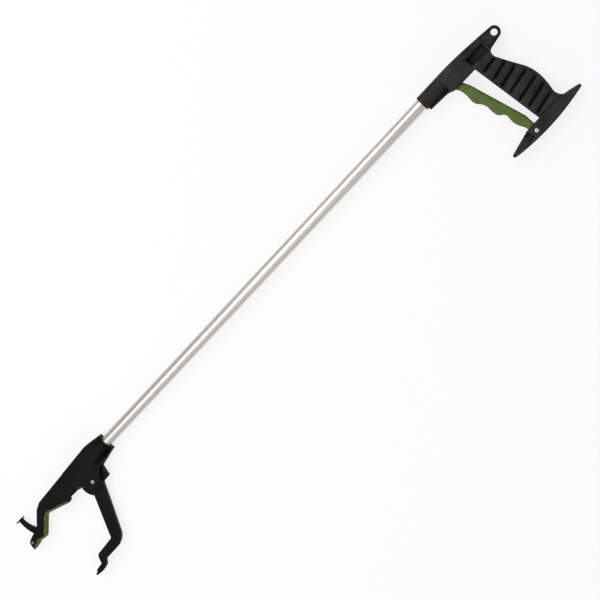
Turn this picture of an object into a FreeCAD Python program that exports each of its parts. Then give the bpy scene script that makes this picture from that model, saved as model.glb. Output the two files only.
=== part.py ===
import FreeCAD, Part
import math
import os
import Sketcher
from FreeCAD import Vector

# A reacher grabber about 92 cm long, lying on its side. X runs along the tube towards the jaws, Y points
# to the grip's side and Z is up, square to the plane in which the trigger and the jaw swing.
# Handle pieces are measured from the barrel's mouth on the tube's axis, jaw pieces from the head's mouth.

document = FreeCAD.newDocument("ReacherGrabber")
sheet = document.addObject("Spreadsheet::Sheet", "Sizes")

SIZES = [
    # What the handle and the head share
    ("body_depth", 23, "thickness of the handle and of the head, across Z"),
    ("seat_gap", 0.05, "gap around a piece that is seated in another"),
    ("running_gap", 0.08, "gap around a pin that something turns on"),
    ("jaw_depth", 10, "thickness of both jaws and of the trigger's tongue, between a fork's arms"),
    ("face_gap", 0.3, "gap beside a face that slides or swings"),
    ("side_gap", 1.3, "gap beside a lever in its chamber"),
    ("overlap", 1, "how far a form reaches into the next one, or a cut past the face it opens"),
    # Tube and rod
    ("tube_diameter", 15, "outside of the aluminium tube"),
    ("tube_wall", 1, "wall of the tube"),
    ("tube_exposed", 597, "tube that shows between the two mouldings"),
    ("handle_socket", 22, "tube inside the handle"),
    ("head_socket", 18, "tube inside the jaw head"),
    ("rod_diameter", 4, "pull rod"),
    ("rod_bevel", 0.5, "bevel of the rod's ends"),
    # Guide bushes
    ("bush_length", 12, "bush inside the rear end of the tube"),
    ("front_bush_length", 11, "bush inside the front end of the tube"),
    ("bush_flange", 1.5, "thickness of a bush's flange"),
    # Screws that hold the tube
    ("screw_inset", 13, "from a moulding's mouth to its screw"),
    ("screw_diameter", 2.8, "shank of the screw"),
    ("screw_head_diameter", 6, "head of the screw"),
    ("screw_head_height", 1.6, "height of the screw's head"),
    ("screw_seat", 8.6, "from the tube's axis down to the screw's seat"),
    ("screw_tip", 4.2, "from the tube's axis down to the screw's tip"),
    ("screw_slot_width", 0.9, "driver slot of the screw"),
    ("screw_slot_depth", 0.8, "depth of the driver slot"),
    # Fork ends of the rod
    ("link_pin_diameter", 3, "cross pin in a fork"),
    ("pin_bevel", 0.3, "bevel of a pin's plain end"),
    ("link_clip_width", 1.6, "how far the clip of a cross pin stands out around it"),
    ("link_pin_head", 5, "head of the cross pin"),
    ("link_pin_head_height", 0.5, "height of that head"),
    ("fork_arm", 1.9, "thickness of a fork's arm"),
    ("fork_height", 9.4, "fork across Y"),
    ("fork_nose", 4.2, "from the cross pin to the arms' ends"),
    ("fork_throat", 6.5, "from the cross pin to the fork's web"),
    ("fork_web", 3, "web of the fork"),
    ("fork_boss", 5, "boss behind the web"),
    ("fork_boss_diameter", 8.6, "diameter of that boss"),
    ("fork_slot_play", 0.15, "gap on each side of the cross pin in the fork's slot"),
    ("fork_slot_travel", 3.2, "how far the cross pin may move along the slot"),
    ("nut_flats", 7, "lock nut across flats"),
    ("nut_height", 3.2, "height of the lock nut"),
    # Spring
    ("spring_wire", 0.9, "wire of the return spring"),
    ("spring_radius", 4.8, "radius of the coil to the middle of its wire"),
    ("spring_length", 42, "spring between its seats with the jaws open"),
    ("spring_turns", 10, "turns of the coil"),
    ("seat_thickness", 1, "washer under the spring"),
    ("collar_diameter", 11.6, "collar on the rod"),
    ("collar_length", 5, "length of the collar"),
    ("clip_thickness", 0.8, "push-on clips"),
    ("clip_width", 2.2, "how far a clip stands out around its pin"),
    ("clip_seat", 1.1, "depth of the seat for the clip on the trigger's pin"),
    # Barrel, keel and box of the handle
    ("barrel_diameter", 19, "barrel around the tube"),
    ("barrel_length", 33.5, "barrel in front of the box"),
    ("keel_front", 2.5, "from the mouth to the keel's front end"),
    ("keel_drop", 12.6, "from the axis to the keel's edge at its front end"),
    ("keel_drop_back", 14.3, "the same at its back end"),
    ("keel_back", 29.3, "from the mouth to the keel's back end, where the box starts to drop"),
    ("box_front", 37.6, "from the mouth to the box's lower front corner"),
    ("keel_depth", 5, "thickness of the keel"),
    ("box_back", 71.2, "from the mouth to the back of the box, where the grip starts"),
    ("box_drop", 17.7, "from the axis to the underside of the box"),
    ("spine_rise", 9.1, "from the axis to the top edge of the box at its front"),
    ("spine_rise_back", 8.4, "the same at its back"),
    ("ceiling_rise", 5.7, "from the axis to the ceiling of the chamber"),
    ("chamber_wall", 2.6, "back wall of the chamber"),
    # Hanging ear and the cored pocket
    ("ear_back", 116.8, "from the mouth to the hanging hole"),
    ("ear_drop", 4.1, "from the axis to the hanging hole"),
    ("ear_radius", 7.8, "round end of the ear"),
    ("ear_hole_diameter", 8.4, "hanging hole"),
    ("ear_depth", 14, "thickness of the ear"),
    ("ear_rim", 1.8, "rim around the ear's web"),
    ("ear_recess", 1.4, "depth of the web below the rim"),
    ("ear_root_drop", 15.2, "underside of the ear where the grip starts"),
    ("web_lean", 3, "how much more of the web's upper edge is rim at its front end"),
    ("pocket_length", 26, "cored pocket behind the box, along X"),
    ("pocket_rise", 2.7, "from the axis to the pocket's upper edge"),
    ("pocket_drop", 12.3, "from the axis to the pocket's lower edge"),
    ("pocket_web", 3, "web in the middle of the pocket"),
    # Grip
    ("grip_drop", 111.6, "from the axis to the end plate along the grip's front"),
    ("grip_foot_back", 81.9, "from the mouth to the grip's front at the end plate"),
    ("neck_back", 97.2, "from the mouth to the grip's neck"),
    ("neck_drop", 19.6, "from the axis to the middle of the neck"),
    ("neck_start_back", 102, "where the neck leaves the ear"),
    ("shoulder_back", 98.2, "where the neck ends and the palm swell starts"),
    ("shoulder_drop", 26.2, "the same, from the axis"),
    ("swell_start_back", 111, "the palm swell halfway to its highest place"),
    ("swell_back", 118, "the palm swell's highest place"),
    ("waist_back", 115.4, "where the palm swell ends above the end plate"),
    ("waist_rise", 12, "from there to the end plate"),
    ("swell_flat", 0.5, "how far the swell draws in halfway down to the waist"),
    ("flare_back", 1.1, "how far the grip's back has flared out a little below the waist"),
    ("flare_fall", 7.4, "from the waist to that place"),
    ("heel_back", 6.5, "how far the grip's back has flared out at the end plate"),
    ("heel_fall", 2.4, "from the grip's end to that place"),
    ("grip_sink", 6, "how far the grip reaches into the end plate"),
    ("grip_step", 0.2, "how far the grip's front lies behind the box's back corner"),
    ("grip_round", 2.6, "rounding of the grip's edges"),
    ("groove_width", 2.2, "groove between two pads of the grip"),
    ("groove_depth", 1.5, "depth of that groove"),
    ("groove_last_rise", 6.5, "from the last groove to the end plate"),
    ("groove_first_drop", 26.5, "from the axis to the first groove"),
    ("groove_count", 7, "grooves on each side of the grip"),
    ("groove_slope", 10, "degrees that the grooves lean"),
    ("groove_margin", 4.2, "plain rim in front of a groove, and twice the rim behind it"),
    # End plate
    ("plate_front_back", 31, "from the mouth to the plate's front tip"),
    ("plate_front_fall", 10.7, "from the grip's end to the plate's front tip"),
    ("plate_tip", 4.4, "blunt front tip"),
    ("plate_rear_back", 141.3, "from the mouth to the plate's rear tip"),
    ("plate_rear_fall", 7.4, "from the grip's end to the plate's rear tip"),
    ("plate_rear_tip", 3, "blunt rear tip"),
    ("plate_tail", 14, "from the grip's back to the bend in the plate's upper edge"),
    ("plate_tail_fall", 3, "the same, below the grip's end"),
    ("plate_lip_fall", 1, "upper edge of the plate in front of the trigger, below the grip's end"),
    ("plate_belly_back", 80, "from the mouth to the plate's thickest place"),
    ("plate_belly_fall", 16.1, "from the grip's end to the plate's outer face"),
    ("plate_slot_front", 60, "from the mouth to the front of the trigger's slot"),
    ("plate_slot_back", 78, "from the mouth to the back of the trigger's slot"),
    ("plate_wall", 2.4, "wall between the slot and the outer face"),
    # Trigger
    ("trigger_pivot_back", 69.7, "from the mouth to the trigger's pin"),
    ("trigger_pivot_fall", 7.9, "from the grip's end to the trigger's pin"),
    ("trigger_pin_diameter", 4.2, "shank of the trigger's pin"),
    ("trigger_pin_head", 5, "head of the trigger's pin"),
    ("trigger_pin_head_height", 0.6, "height of that head"),
    ("trigger_link_drop", 1.48, "from the axis to the trigger's cross pin with the jaws open"),
    ("trigger_lean", 12.1, "degrees that this line leans forward with the jaws open"),
    ("trigger_depth", 14, "thickness of the trigger"),
    ("trigger_top_drop", 17.4, "where the finger side starts below the box"),
    ("trigger_front_back", 38.6, "the finger side there, from the mouth"),
    ("trigger_foot_fall", 0.8, "from the grip's end to the finger side's end"),
    ("trigger_foot_back", 63.8, "the finger side there, from the mouth"),
    ("finger_wave", 2.4, "how far the finger hollows and crests leave a straight line"),
    ("trigger_back_top", 50.2, "palm side of the trigger below the box"),
    ("trigger_back_bend", 55.6, "palm side at its upper bend"),
    ("trigger_bend_drop", 30, "the same, from the axis"),
    ("trigger_back_low", 73.3, "palm side at its lower bend"),
    ("trigger_low_rise", 12.6, "from there to the grip's end"),
    ("trigger_low_length", 6, "straight end of the palm side"),
    ("eye_neck", 6, "from the cross pin to where its eye meets the blade"),
    ("trigger_eye", 4.2, "radius around the cross pin"),
    ("trigger_foot_radius", 4.4, "radius around the trigger's pin"),
    ("trigger_round", 2.4, "rounding of the trigger's edges"),
    ("tongue_drop", 11, "where the trigger narrows to its tongue"),
    # Jaw head
    ("rivet_ahead", 50.3, "from the head's mouth to the jaw rivet"),
    ("rivet_drop", 23.7, "from the axis to the jaw rivet"),
    ("rivet_diameter", 4.8, "shank of the jaw rivet"),
    ("rivet_head_diameter", 6, "head of the jaw rivet"),
    ("rivet_head_height", 0.9, "height of that head"),
    ("rivet_washer_diameter", 9, "washer under the closed end of the rivet"),
    ("rivet_washer_thickness", 0.8, "thickness of that washer"),
    ("mouth_rise", 12.1, "mouth of the head above the axis"),
    ("mouth_drop", 12.8, "mouth of the head below the axis"),
    ("brow_ahead", 25, "bend in the head's upper edge"),
    ("brow_rise", 16.3, "the same, above the axis"),
    ("cheek_ahead", 74.4, "front end of the cheeks at the upper edge"),
    ("cheek_rise", 13.2, "the same, above the axis"),
    ("cheek_front", 78.6, "front end of the cheeks below the axis"),
    ("cheek_radius", 12.4, "round of the cheeks about the rivet"),
    ("chin_ahead", 30.6, "bend in the head's lower edge"),
    ("chin_drop", 18.4, "the same, below the axis"),
    ("cheek_thickness", 3, "wall of the head beside its cavity"),
    ("cavity_rise", 8.6, "cavity above the axis"),
    ("cavity_back_drop", 8.6, "cavity below the axis behind the jaw"),
    ("cavity_bevel", 3, "bevels of the cavity's corners"),
    ("cavity_back", 26.4, "where the cavity opens downwards"),
    # Fixed jaw
    ("jaw_back_ahead", 130, "upper edge of the fixed jaw at its bend"),
    ("jaw_back_rise", 9.9, "the same, above the axis"),
    ("jaw_bend_ahead", 140.8, "upper edge after its bend"),
    ("jaw_bend_rise", 5.2, "the same, above the axis"),
    ("jaw_back_low_ahead", 158.6, "upper edge at the horn"),
    ("jaw_back_low_drop", 10.4, "the same, below the axis"),
    ("tip_back_ahead", 180.3, "upper corner of the tip"),
    ("tip_back_drop", 16.5, "the same, below the axis"),
    ("tip_ahead", 185.3, "end of the fixed jaw"),
    ("tip_drop", 26.6, "the same at the liner's face"),
    ("tip_bevel_ahead", 3, "from that corner to the tip's outer bevel"),
    ("tip_bevel_drop", 2.2, "the same, below the corner"),
    ("jaw_sink", 4, "how far the fixed jaw's root lies inside the cheeks"),
    ("jaw_root_drop", 16.7, "lower edge of the fixed jaw at the cheeks"),
    ("liner_root_ahead", 98.9, "start of the liner"),
    ("liner_root_drop", 16.4, "the same, from the axis"),
    ("liner_low_ahead", 130.9, "liner's seat nearest to the axis, before the bend"),
    ("liner_low_drop", 5.6, "the same, from the axis"),
    ("liner_bend_ahead", 138.1, "liner's seat at the bend"),
    ("liner_bend_drop", 6.9, "the same, from the axis"),
    ("liner_foot_ahead", 160.4, "liner's seat at the foot of the slope"),
    ("liner_foot_drop", 25.2, "the same, from the axis"),
    ("liner_flat_ahead", 166.8, "liner's seat below the horn"),
    ("liner_flat_drop", 24.2, "the same, from the axis"),
    ("liner_crest_ahead", 171.6, "liner's seat at its crest"),
    ("liner_crest_drop", 22, "the same, from the axis"),
    ("liner_tip_ahead", 176.2, "liner's seat before the tip"),
    ("liner_tip_drop", 25.1, "the same, from the axis"),
    ("liner_thickness", 3.3, "rubber liner"),
    ("magnet_ahead", 179.6, "magnet, from the head's mouth"),
    ("magnet_drop", 20.9, "magnet, from the axis"),
    ("magnet_diameter", 4, "magnet in the tip"),
    ("horn_ahead", 170.2, "middle of the horn's cross bar"),
    ("horn_rise", 13.2, "top of the cross bar above the axis"),
    ("horn_bar_length", 10.2, "length of the cross bar"),
    ("horn_bar_thickness", 1.8, "thickness of the cross bar"),
    ("horn_stem", 4.2, "width of the horn below its cross bar"),
    ("horn_stem_back", 1, "how far the stem stands behind the bar's middle"),
    ("horn_foot_left", 159.6, "left end of the horn's foot, sunk into the jaw"),
    ("horn_foot_right", 169.5, "its right end"),
    ("horn_foot_sink", 3, "how far the foot is sunk into the jaw"),
    ("horn_left_bend", 0.2, "how far the stem's left side has flared at its bend"),
    ("horn_left_rise", 2, "that bend, above the axis"),
    ("horn_right_bend", 1.6, "how far the stem's right side has flared at its bend"),
    ("horn_right_rise", 1, "that bend, above the axis"),
    ("horn_depth", 7, "thickness of the horn"),
    # Moving jaw
    ("crank_radius", 24.4, "from the jaw rivet to its cross pin"),
    ("crank_lean", 19.75, "degrees that the crank leans forward with the jaws open"),
    ("crank_eye", 4.2, "radius around the crank's cross pin"),
    ("hub_radius", 21.5, "round of the jaw's hub about the rivet"),
    ("hub_boss_radius", 8, "boss of the hub against the cheeks"),
    ("jaw_bush_wall", 1, "wall of the bush in the hub"),
    ("arm_top_ahead", 58.3, "outer edge of the arm near the hub"),
    ("arm_top_drop", 58.6, "the same, from the axis"),
    ("heel_ahead", 44.7, "outer edge where the arm meets the hub's heel"),
    ("heel_drop", 33.9, "the same, from the axis"),
    ("heel_low_ahead", 32.9, "lower corner of the heel"),
    ("heel_low_drop", 33.1, "the same, from the axis"),
    ("heel_top_ahead", 28.7, "upper corner of the heel"),
    ("heel_top_drop", 18.9, "the same, from the axis"),
    ("crank_root_ahead", 63.3, "front corner between crank and hub"),
    ("crank_root_drop", 13.7, "the same, from the axis"),
    ("crank_neck", 0.9, "length of the crank's straight back, as a share of the fork's height"),
    ("elbow_ahead", 80.1, "outer edge at the elbow"),
    ("elbow_drop", 97, "the same, from the axis"),
    ("elbow_start_ahead", 92.8, "inner edge just before the elbow's round"),
    ("elbow_start_drop", 88.6, "the same, from the axis"),
    ("elbow_round_ahead", 93.8, "middle of the elbow's inner round"),
    ("elbow_round_drop", 91.2, "the same, from the axis"),
    ("elbow_end_ahead", 97.8, "end of the elbow's inner round"),
    ("elbow_end_drop", 92.8, "the same, from the axis"),
    ("elbow_outer_run", 6.2, "from the elbow to the middle of its outer round, along X"),
    ("elbow_outer_fall", 6, "the same, along Y"),
    ("forearm_ahead", 96.4, "outer edge where the fore-arm starts"),
    ("forearm_drop", 107, "the same, from the axis"),
    ("wrist_ahead", 123.2, "where the fore-arm's outer edge meets the claw"),
    ("wrist_drop", 107.6, "the same, from the axis"),
    ("palm_ahead", 124.6, "corner of the fore-arm's inner edge"),
    ("palm_drop", 95.1, "the same, from the axis"),
    ("palm_foot_ahead", 127.6, "end of that corner's bevel"),
    ("palm_foot_drop", 98.1, "the same, from the axis"),
    ("palm_end_ahead", 131.6, "where the palm turns into the claw"),
    ("palm_end_drop", 107.1, "the same, from the axis"),
    ("claw_inner_ahead", 143.8, "inner edge of the claw before its tip"),
    ("claw_inner_drop", 108.7, "the same, from the axis"),
    ("claw_outer_ahead", 140.7, "middle of the claw's outer edge"),
    ("claw_outer_drop", 115.5, "the same, from the axis"),
    ("claw_root_ahead", 128.2, "outer edge of the claw at the fore-arm"),
    ("claw_root_drop", 113.2, "the same, from the axis"),
    ("claw_ahead", 150.2, "tip of the claw"),
    ("claw_drop", 112.9, "the same, from the axis"),
    ("jaw_round", 1.5, "rounding of the moving jaw's edges"),
    ("cheek_round", 2, "rounding of the head's edges"),
]


class Size:
    """A number together with the words that compute it in the sheet, so that both stay the same."""

    def __init__(self, value, words):
        self.value = float(value)
        self.words = words

    def __add__(self, other):
        return Size(self.value + number(other), "(%s + %s)" % (self.words, words(other)))

    def __sub__(self, other):
        return Size(self.value - number(other), "(%s - %s)" % (self.words, words(other)))

    def __mul__(self, other):
        return Size(self.value * number(other), "%s * %s" % (self.words, words(other)))

    def __truediv__(self, other):
        return Size(self.value / number(other), "%s / %s" % (self.words, words(other)))

    def __neg__(self):
        return Size(-self.value, "(0 - %s)" % self.words)

    def __radd__(self, other):
        return Size(number(other), words(other)) + self

    def __rsub__(self, other):
        return Size(number(other), words(other)) - self

    def __rmul__(self, other):
        return self * other


def number(thing):
    return thing.value if isinstance(thing, Size) else float(thing)


def words(thing):
    return thing.words if isinstance(thing, Size) else "(%.9g)" % thing


def cosine(angle):
    return Size(math.cos(math.radians(number(angle))), "cos(%s)" % words(angle))


def sine(angle):
    return Size(math.sin(math.radians(number(angle))), "sin(%s)" % words(angle))


class Table:
    """The sheet's cells by name."""


size = Table()
for row, (alias, value, meaning) in enumerate(SIZES, start=1):
    sheet.set("A%d" % row, alias)
    sheet.set("B%d" % row, str(value))
    sheet.set("C%d" % row, meaning)
    sheet.setAlias("B%d" % row, alias)
    setattr(size, alias, Size(value, "Sizes." + alias))
document.recompute()

# Sizes that several pieces use
half = size.body_depth / 2
tube_radius = size.tube_diameter / 2
tube_bore = tube_radius - size.tube_wall
rod_radius = size.rod_diameter / 2
link_radius = size.link_pin_diameter / 2
tongue = size.jaw_depth / 2
fork_half = tongue + size.face_gap + size.fork_arm
chamber = fork_half + size.side_gap
trigger_pivot_drop = size.grip_drop + size.trigger_pivot_fall
trigger_arm = (trigger_pivot_drop - size.trigger_link_drop) / cosine(size.trigger_lean)
trigger_link_back = size.trigger_pivot_back - trigger_arm * sine(size.trigger_lean)
trigger_link_drop = size.trigger_link_drop
waist_drop = size.grip_drop - size.waist_rise
swell_drop = size.shoulder_drop + (waist_drop - size.shoulder_drop) * 0.745
swell_start_drop = (size.shoulder_drop + swell_drop) / 2 - 1
plate_belly_drop = size.grip_drop + size.plate_belly_fall
crank_link_ahead = size.rivet_ahead + size.crank_radius * sine(size.crank_lean)
crank_link_drop = size.rivet_drop - size.crank_radius * cosine(size.crank_lean)
hub_length = size.body_depth - size.cheek_thickness * 2 - size.face_gap * 2
jaw_bush_bore = size.rivet_diameter / 2 + size.running_gap
jaw_bush_radius = jaw_bush_bore + size.jaw_bush_wall
trigger_clip_radius = size.trigger_pin_diameter / 2 + size.clip_width
spring_start = size.seat_thickness + size.bush_length - size.handle_socket
spring_end = spring_start + size.spring_length

# Place of the handle's zero point in the part's frame: the middle of the whole length and width is zero,
# and the lower side of the mouldings lies at Z = 0.
frame_x = (size.plate_rear_back - size.tube_exposed - size.tip_ahead) / 2
frame_y = (size.brow_rise - plate_belly_drop) / 2

pieces = []


def body(label, ahead=0, drop=0, turned=0, on_head=False):
    """A new piece whose own zero point lies at that place of the handle, or of the jaw head."""
    made = document.addObject("PartDesign::Body", label)
    made.Label = label
    made.Placement = FreeCAD.Placement(Vector(), FreeCAD.Rotation(Vector(0, 0, 1), turned))
    along = frame_x + ahead + (size.tube_exposed if on_head else 0)
    made.setExpression("Placement.Base.x", words(along))
    made.setExpression("Placement.Base.y", words(frame_y + drop))
    made.setExpression("Placement.Base.z", words(half))
    pieces.append(made)
    return made


def plane(owner, role):
    return next(part for part in owner.Origin.OriginFeatures if part.Role == role)


def sketch(owner, name, role="XY_Plane", level=None):
    """A sketch on one of the piece's own planes, raised by level along the plane's normal."""
    made = owner.newObject("Sketcher::SketchObject", name)
    made.AttachmentSupport = [(plane(owner, role), "")]
    made.MapMode = "FlatFace"
    if level is not None:
        made.setExpression("AttachmentOffset.Base.z", words(level))
    return made


def pin(where, geometry, end, x, y):
    """Fixes a point of a sketch at the place (x, y)."""
    for kind, place in (("DistanceX", x), ("DistanceY", y)):
        made = where.addConstraint(Sketcher.Constraint(kind, -1, 1, geometry, end, number(place)))
        if isinstance(place, Size):
            where.setExpression("Constraints[%d]" % made, words(place))


def point(x, y):
    return Vector(number(x), number(y), 0)


def outline(where, path):
    """A closed outline. Each item is (x, y) for a straight edge to that point, or (x1, y1, x, y) for an arc
    through (x1, y1) to (x, y). It is closed by a straight edge unless it ends where it started."""
    start = path[0]
    closed = (point(*path[-1][-2:]) - point(*start)).Length < 1e-6
    steps = list(path[1:]) if closed else list(path[1:]) + [start]
    here = start
    ends = []
    for step in steps:
        there = step[-2:]
        if len(step) == 2:
            edge = where.addGeometry(Part.LineSegment(point(*here), point(*there)), False)
            ends.append((edge, 1, 2))
        else:
            first, middle, last = point(*here), point(*step[:2]), point(*there)
            left_turn = (middle - first).cross(last - middle).z > 0
            arc = Part.Arc(first, middle, last) if left_turn else Part.Arc(last, middle, first)
            edge = where.addGeometry(arc, False)
            mark = where.addGeometry(Part.Point(middle), True)
            where.addConstraint(Sketcher.Constraint("PointOnObject", mark, 1, edge))
            pin(where, mark, 1, step[0], step[1])
            ends.append((edge, 1, 2) if left_turn else (edge, 2, 1))
        pin(where, ends[-1][0], ends[-1][1], here[0], here[1])
        here = there
    for (edge, _, last), (following, first, _) in zip(ends, ends[1:] + ends[:1]):
        where.addConstraint(Sketcher.Constraint("Coincident", edge, last, following, first))


def circle(where, x, y, radius):
    made = where.addGeometry(Part.Circle(point(x, y), Vector(0, 0, 1), number(radius)), False)
    pin(where, made, 3, x, y)
    held = where.addConstraint(Sketcher.Constraint("Radius", made, number(radius)))
    if isinstance(radius, Size):
        where.setExpression("Constraints[%d]" % held, words(radius))


def rectangle(x1, y1, x2, y2):
    return [(x1, y1), (x2, y1), (x2, y2), (x1, y2)]


def feature(owner, kind, name, profile, length=None, symmetric=True, backwards=False):
    """A pad or pocket of that length, to both sides of its sketch unless symmetric is false."""
    made = owner.newObject("PartDesign::" + kind, name)
    made.Profile = profile
    made.SideType = "Symmetric" if symmetric else "One side"
    made.Reversed = backwards
    made.setExpression("Length", words(length))
    return made


def pad(owner, name, path, depth):
    where = sketch(owner, name + "Sketch")
    outline(where, path)
    return feature(owner, "Pad", name, where, depth)


def pocket(owner, name, path, depth):
    where = sketch(owner, name + "Sketch")
    outline(where, path)
    return feature(owner, "Pocket", name, where, depth)


def bore(owner, name, x, y, radius, depth):
    """A round hole along Z, through the depth of the piece."""
    where = sketch(owner, name + "Sketch")
    circle(where, x, y, radius)
    return feature(owner, "Pocket", name, where, depth)


def turned(owner, kind, name, path, role="XY_Plane", axis="H_Axis"):
    """A profile turned about the piece's X axis, or about its Z axis with the XZ plane and V_Axis."""
    where = sketch(owner, name + "Sketch", role)
    outline(where, path)
    made = owner.newObject("PartDesign::" + kind, name)
    made.Profile = where
    made.ReferenceAxis = (where, [axis])
    made.Angle = 360
    return made


def under_hole(owner, name, x, radius, top, y=0):
    """A round hole from top, below the middle plane, down through the underside."""
    where = sketch(owner, name + "Sketch", level=-top)
    circle(where, x, y, radius)
    return feature(owner, "Pocket", name, where, size.body_depth, symmetric=False)


def rounded(owner, base, name, radius, wanted):
    """Rounds the edges of the piece so far for which wanted(edge) is true."""
    document.recompute()
    chosen = ["Edge%d" % place for place, edge in enumerate(base.Shape.Edges, start=1) if wanted(edge)]
    made = owner.newObject("PartDesign::Fillet", name)
    made.Base = (base, chosen)
    made.setExpression("Radius", words(radius))
    return made


def on_face(level):
    """True for an edge that lies flat at that height or at the same depth below the middle plane."""
    return lambda edge: all(abs(abs(v.Z) - number(level)) < 1e-4 for v in edge.Vertexes)


def both_sides(owner, name, cut):
    """Repeats a cut on the other side of the middle plane."""
    made = owner.newObject("PartDesign::Mirrored", name)
    made.Originals = [cut]
    made.MirrorPlane = (plane(owner, "XY_Plane"), [""])
    owner.Tip = made
    return made


def palm_side(drop):
    """How far behind the mouth the palm side of the grip lies at that drop: a parabola through the
    shoulder, the start of the swell and its highest place."""
    first = (size.swell_start_back - size.shoulder_back) / (swell_start_drop - size.shoulder_drop)
    second = (size.swell_back - size.swell_start_back) / (swell_drop - swell_start_drop)
    bend = (second - first) / (swell_drop - size.shoulder_drop)
    return size.shoulder_back + (drop - size.shoulder_drop) * (first + (drop - swell_start_drop) * bend)


def make_handle():
    """Black moulding: barrel, keel, trigger box, hanging ear, ribbed grip and boat-shaped end plate."""
    made = body("handle")
    back = -size.box_back
    grip_lean = (size.grip_foot_back - size.box_back) / (size.grip_drop - size.box_drop)
    plate_front_drop = size.grip_drop + size.plate_front_fall
    plate_rear_drop = size.grip_drop + size.plate_rear_fall
    # Grip, with rounded edges
    grip = pad(made, "Grip", [
        (back, size.ear_root_drop - size.overlap * 2),
        (back - size.grip_step, size.box_drop),
        (-size.grip_foot_back, size.grip_drop),
        (-size.grip_foot_back, size.grip_drop + size.grip_sink),
        (-size.waist_back - size.heel_back, size.grip_drop + size.grip_sink),
        (-size.waist_back - size.heel_back, size.grip_drop + size.heel_fall),
        (-size.waist_back - size.flare_back, waist_drop + size.flare_fall, -size.waist_back, waist_drop),
        (size.swell_flat - size.swell_back, (waist_drop + swell_drop) / 2, -size.swell_back, swell_drop),
        (-size.swell_start_back, swell_start_drop, -size.shoulder_back, size.shoulder_drop),
        (-size.neck_back, size.neck_drop, -size.neck_start_back, size.ear_root_drop - size.overlap),
    ], size.body_depth)
    rounded(made, grip, "GripRound", size.grip_round,
            lambda edge: on_face(half)(edge)
            and number(size.ear_root_drop) < edge.CenterOfMass.y < number(size.grip_drop))
    # End plate, a boat with blunt tips
    pad(made, "EndPlate", [
        (-size.plate_front_back, plate_front_drop - size.plate_tip / 2),
        (size.plate_tip / 2 - size.plate_front_back, plate_front_drop,
         -size.plate_front_back, plate_front_drop + size.plate_tip / 2),
        (-size.plate_belly_back, plate_belly_drop,
         -size.plate_rear_back, plate_rear_drop + size.plate_rear_tip / 2),
        (-size.plate_rear_back, plate_rear_drop - size.plate_rear_tip / 2),
        (-size.waist_back - size.plate_tail, size.grip_drop + size.plate_tail_fall),
        (-size.waist_back, size.grip_drop),
        (-size.plate_slot_front, size.grip_drop + size.plate_lip_fall),
    ], size.body_depth)
    # Ear with its recessed web
    ear_end = [
        (-size.ear_back, size.ear_drop - size.ear_radius),
        (-size.ear_back - size.ear_radius, size.ear_drop, -size.ear_back, size.ear_drop + size.ear_radius),
    ]
    pad(made, "Ear", [(back, -size.spine_rise_back)] + ear_end + [
        (-size.neck_start_back, size.ear_root_drop), (back, size.ear_root_drop),
    ], size.ear_depth)
    # Box and barrel
    box_front_drop = (size.keel_drop_back + size.box_drop) / 2
    pad(made, "Box", [
        (-size.barrel_length, -size.spine_rise),
        (back, -size.spine_rise_back),
        (back, size.box_drop),
        (-size.box_front, size.box_drop),
        (-size.barrel_length, box_front_drop),
    ], size.body_depth)
    barrel = size.barrel_diameter / 2
    turned(made, "Revolution", "Barrel", rectangle(-size.barrel_length - size.overlap, 0, 0, barrel))
    keel_back = -size.barrel_length - size.overlap
    keel_top = tube_radius + size.overlap
    pad(made, "Keel", [
        (-size.keel_front, keel_top), (-size.keel_front, size.keel_drop),
        (-size.keel_back, size.keel_drop_back), (-size.barrel_length, box_front_drop),
        (keel_back, box_front_drop), (keel_back, keel_top),
    ], size.keel_depth)
    # Room for the tube, the fork and the trigger's tongue
    turned(made, "Groove", "TubeSocket",
           rectangle(keel_back - size.overlap, 0, size.overlap, tube_radius + size.seat_gap))
    pocket(made, "Chamber", rectangle(keel_back, -size.ceiling_rise, size.chamber_wall - size.box_back,
                                      size.box_drop + size.overlap), chamber * 2)
    bore(made, "HangingHole", -size.ear_back, size.ear_drop, size.ear_hole_diameter / 2, size.body_depth)
    # Cored pockets beside the web, on both sides
    where = sketch(made, "PocketSketch", level=size.pocket_web / 2)
    outline(where, rectangle(back, size.pocket_rise, back - size.pocket_length, size.pocket_drop))
    cut = feature(made, "Pocket", "CoredPocket", where, half, symmetric=False, backwards=True)
    both_sides(made, "CoredPocketPair", cut)
    # Recessed web around the hanging hole
    where = sketch(made, "WebSketch", level=size.ear_depth / 2 - size.ear_recess)
    inner = size.ear_radius - size.ear_rim
    outline(where, [
        (back - size.pocket_length - size.ear_rim, -size.spine_rise_back + size.ear_rim + size.web_lean),
        (-size.ear_back, size.ear_drop - inner),
        (-size.ear_back - inner, size.ear_drop, -size.ear_back, size.ear_drop + inner),
        (back - size.pocket_length - size.ear_rim, size.ear_root_drop - size.ear_rim - size.overlap),
    ])
    cut = feature(made, "Pocket", "EarWeb", where, half, symmetric=False, backwards=True)
    both_sides(made, "EarWebPair", cut)
    # Slot for the trigger's foot and the hole for its pin
    pocket(made, "FootSlot",
           rectangle(-size.plate_slot_front, size.grip_drop - size.overlap,
                     -size.plate_slot_back, plate_belly_drop - size.plate_wall),
           size.trigger_depth + size.side_gap * 2)
    bore(made, "TriggerPinHole", -size.trigger_pivot_back, trigger_pivot_drop,
         size.trigger_pin_diameter / 2 + size.seat_gap, size.body_depth)
    under_hole(made, "ClipSeat", -size.trigger_pivot_back, trigger_clip_radius + size.face_gap,
               half - size.clip_seat, trigger_pivot_drop)
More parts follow.
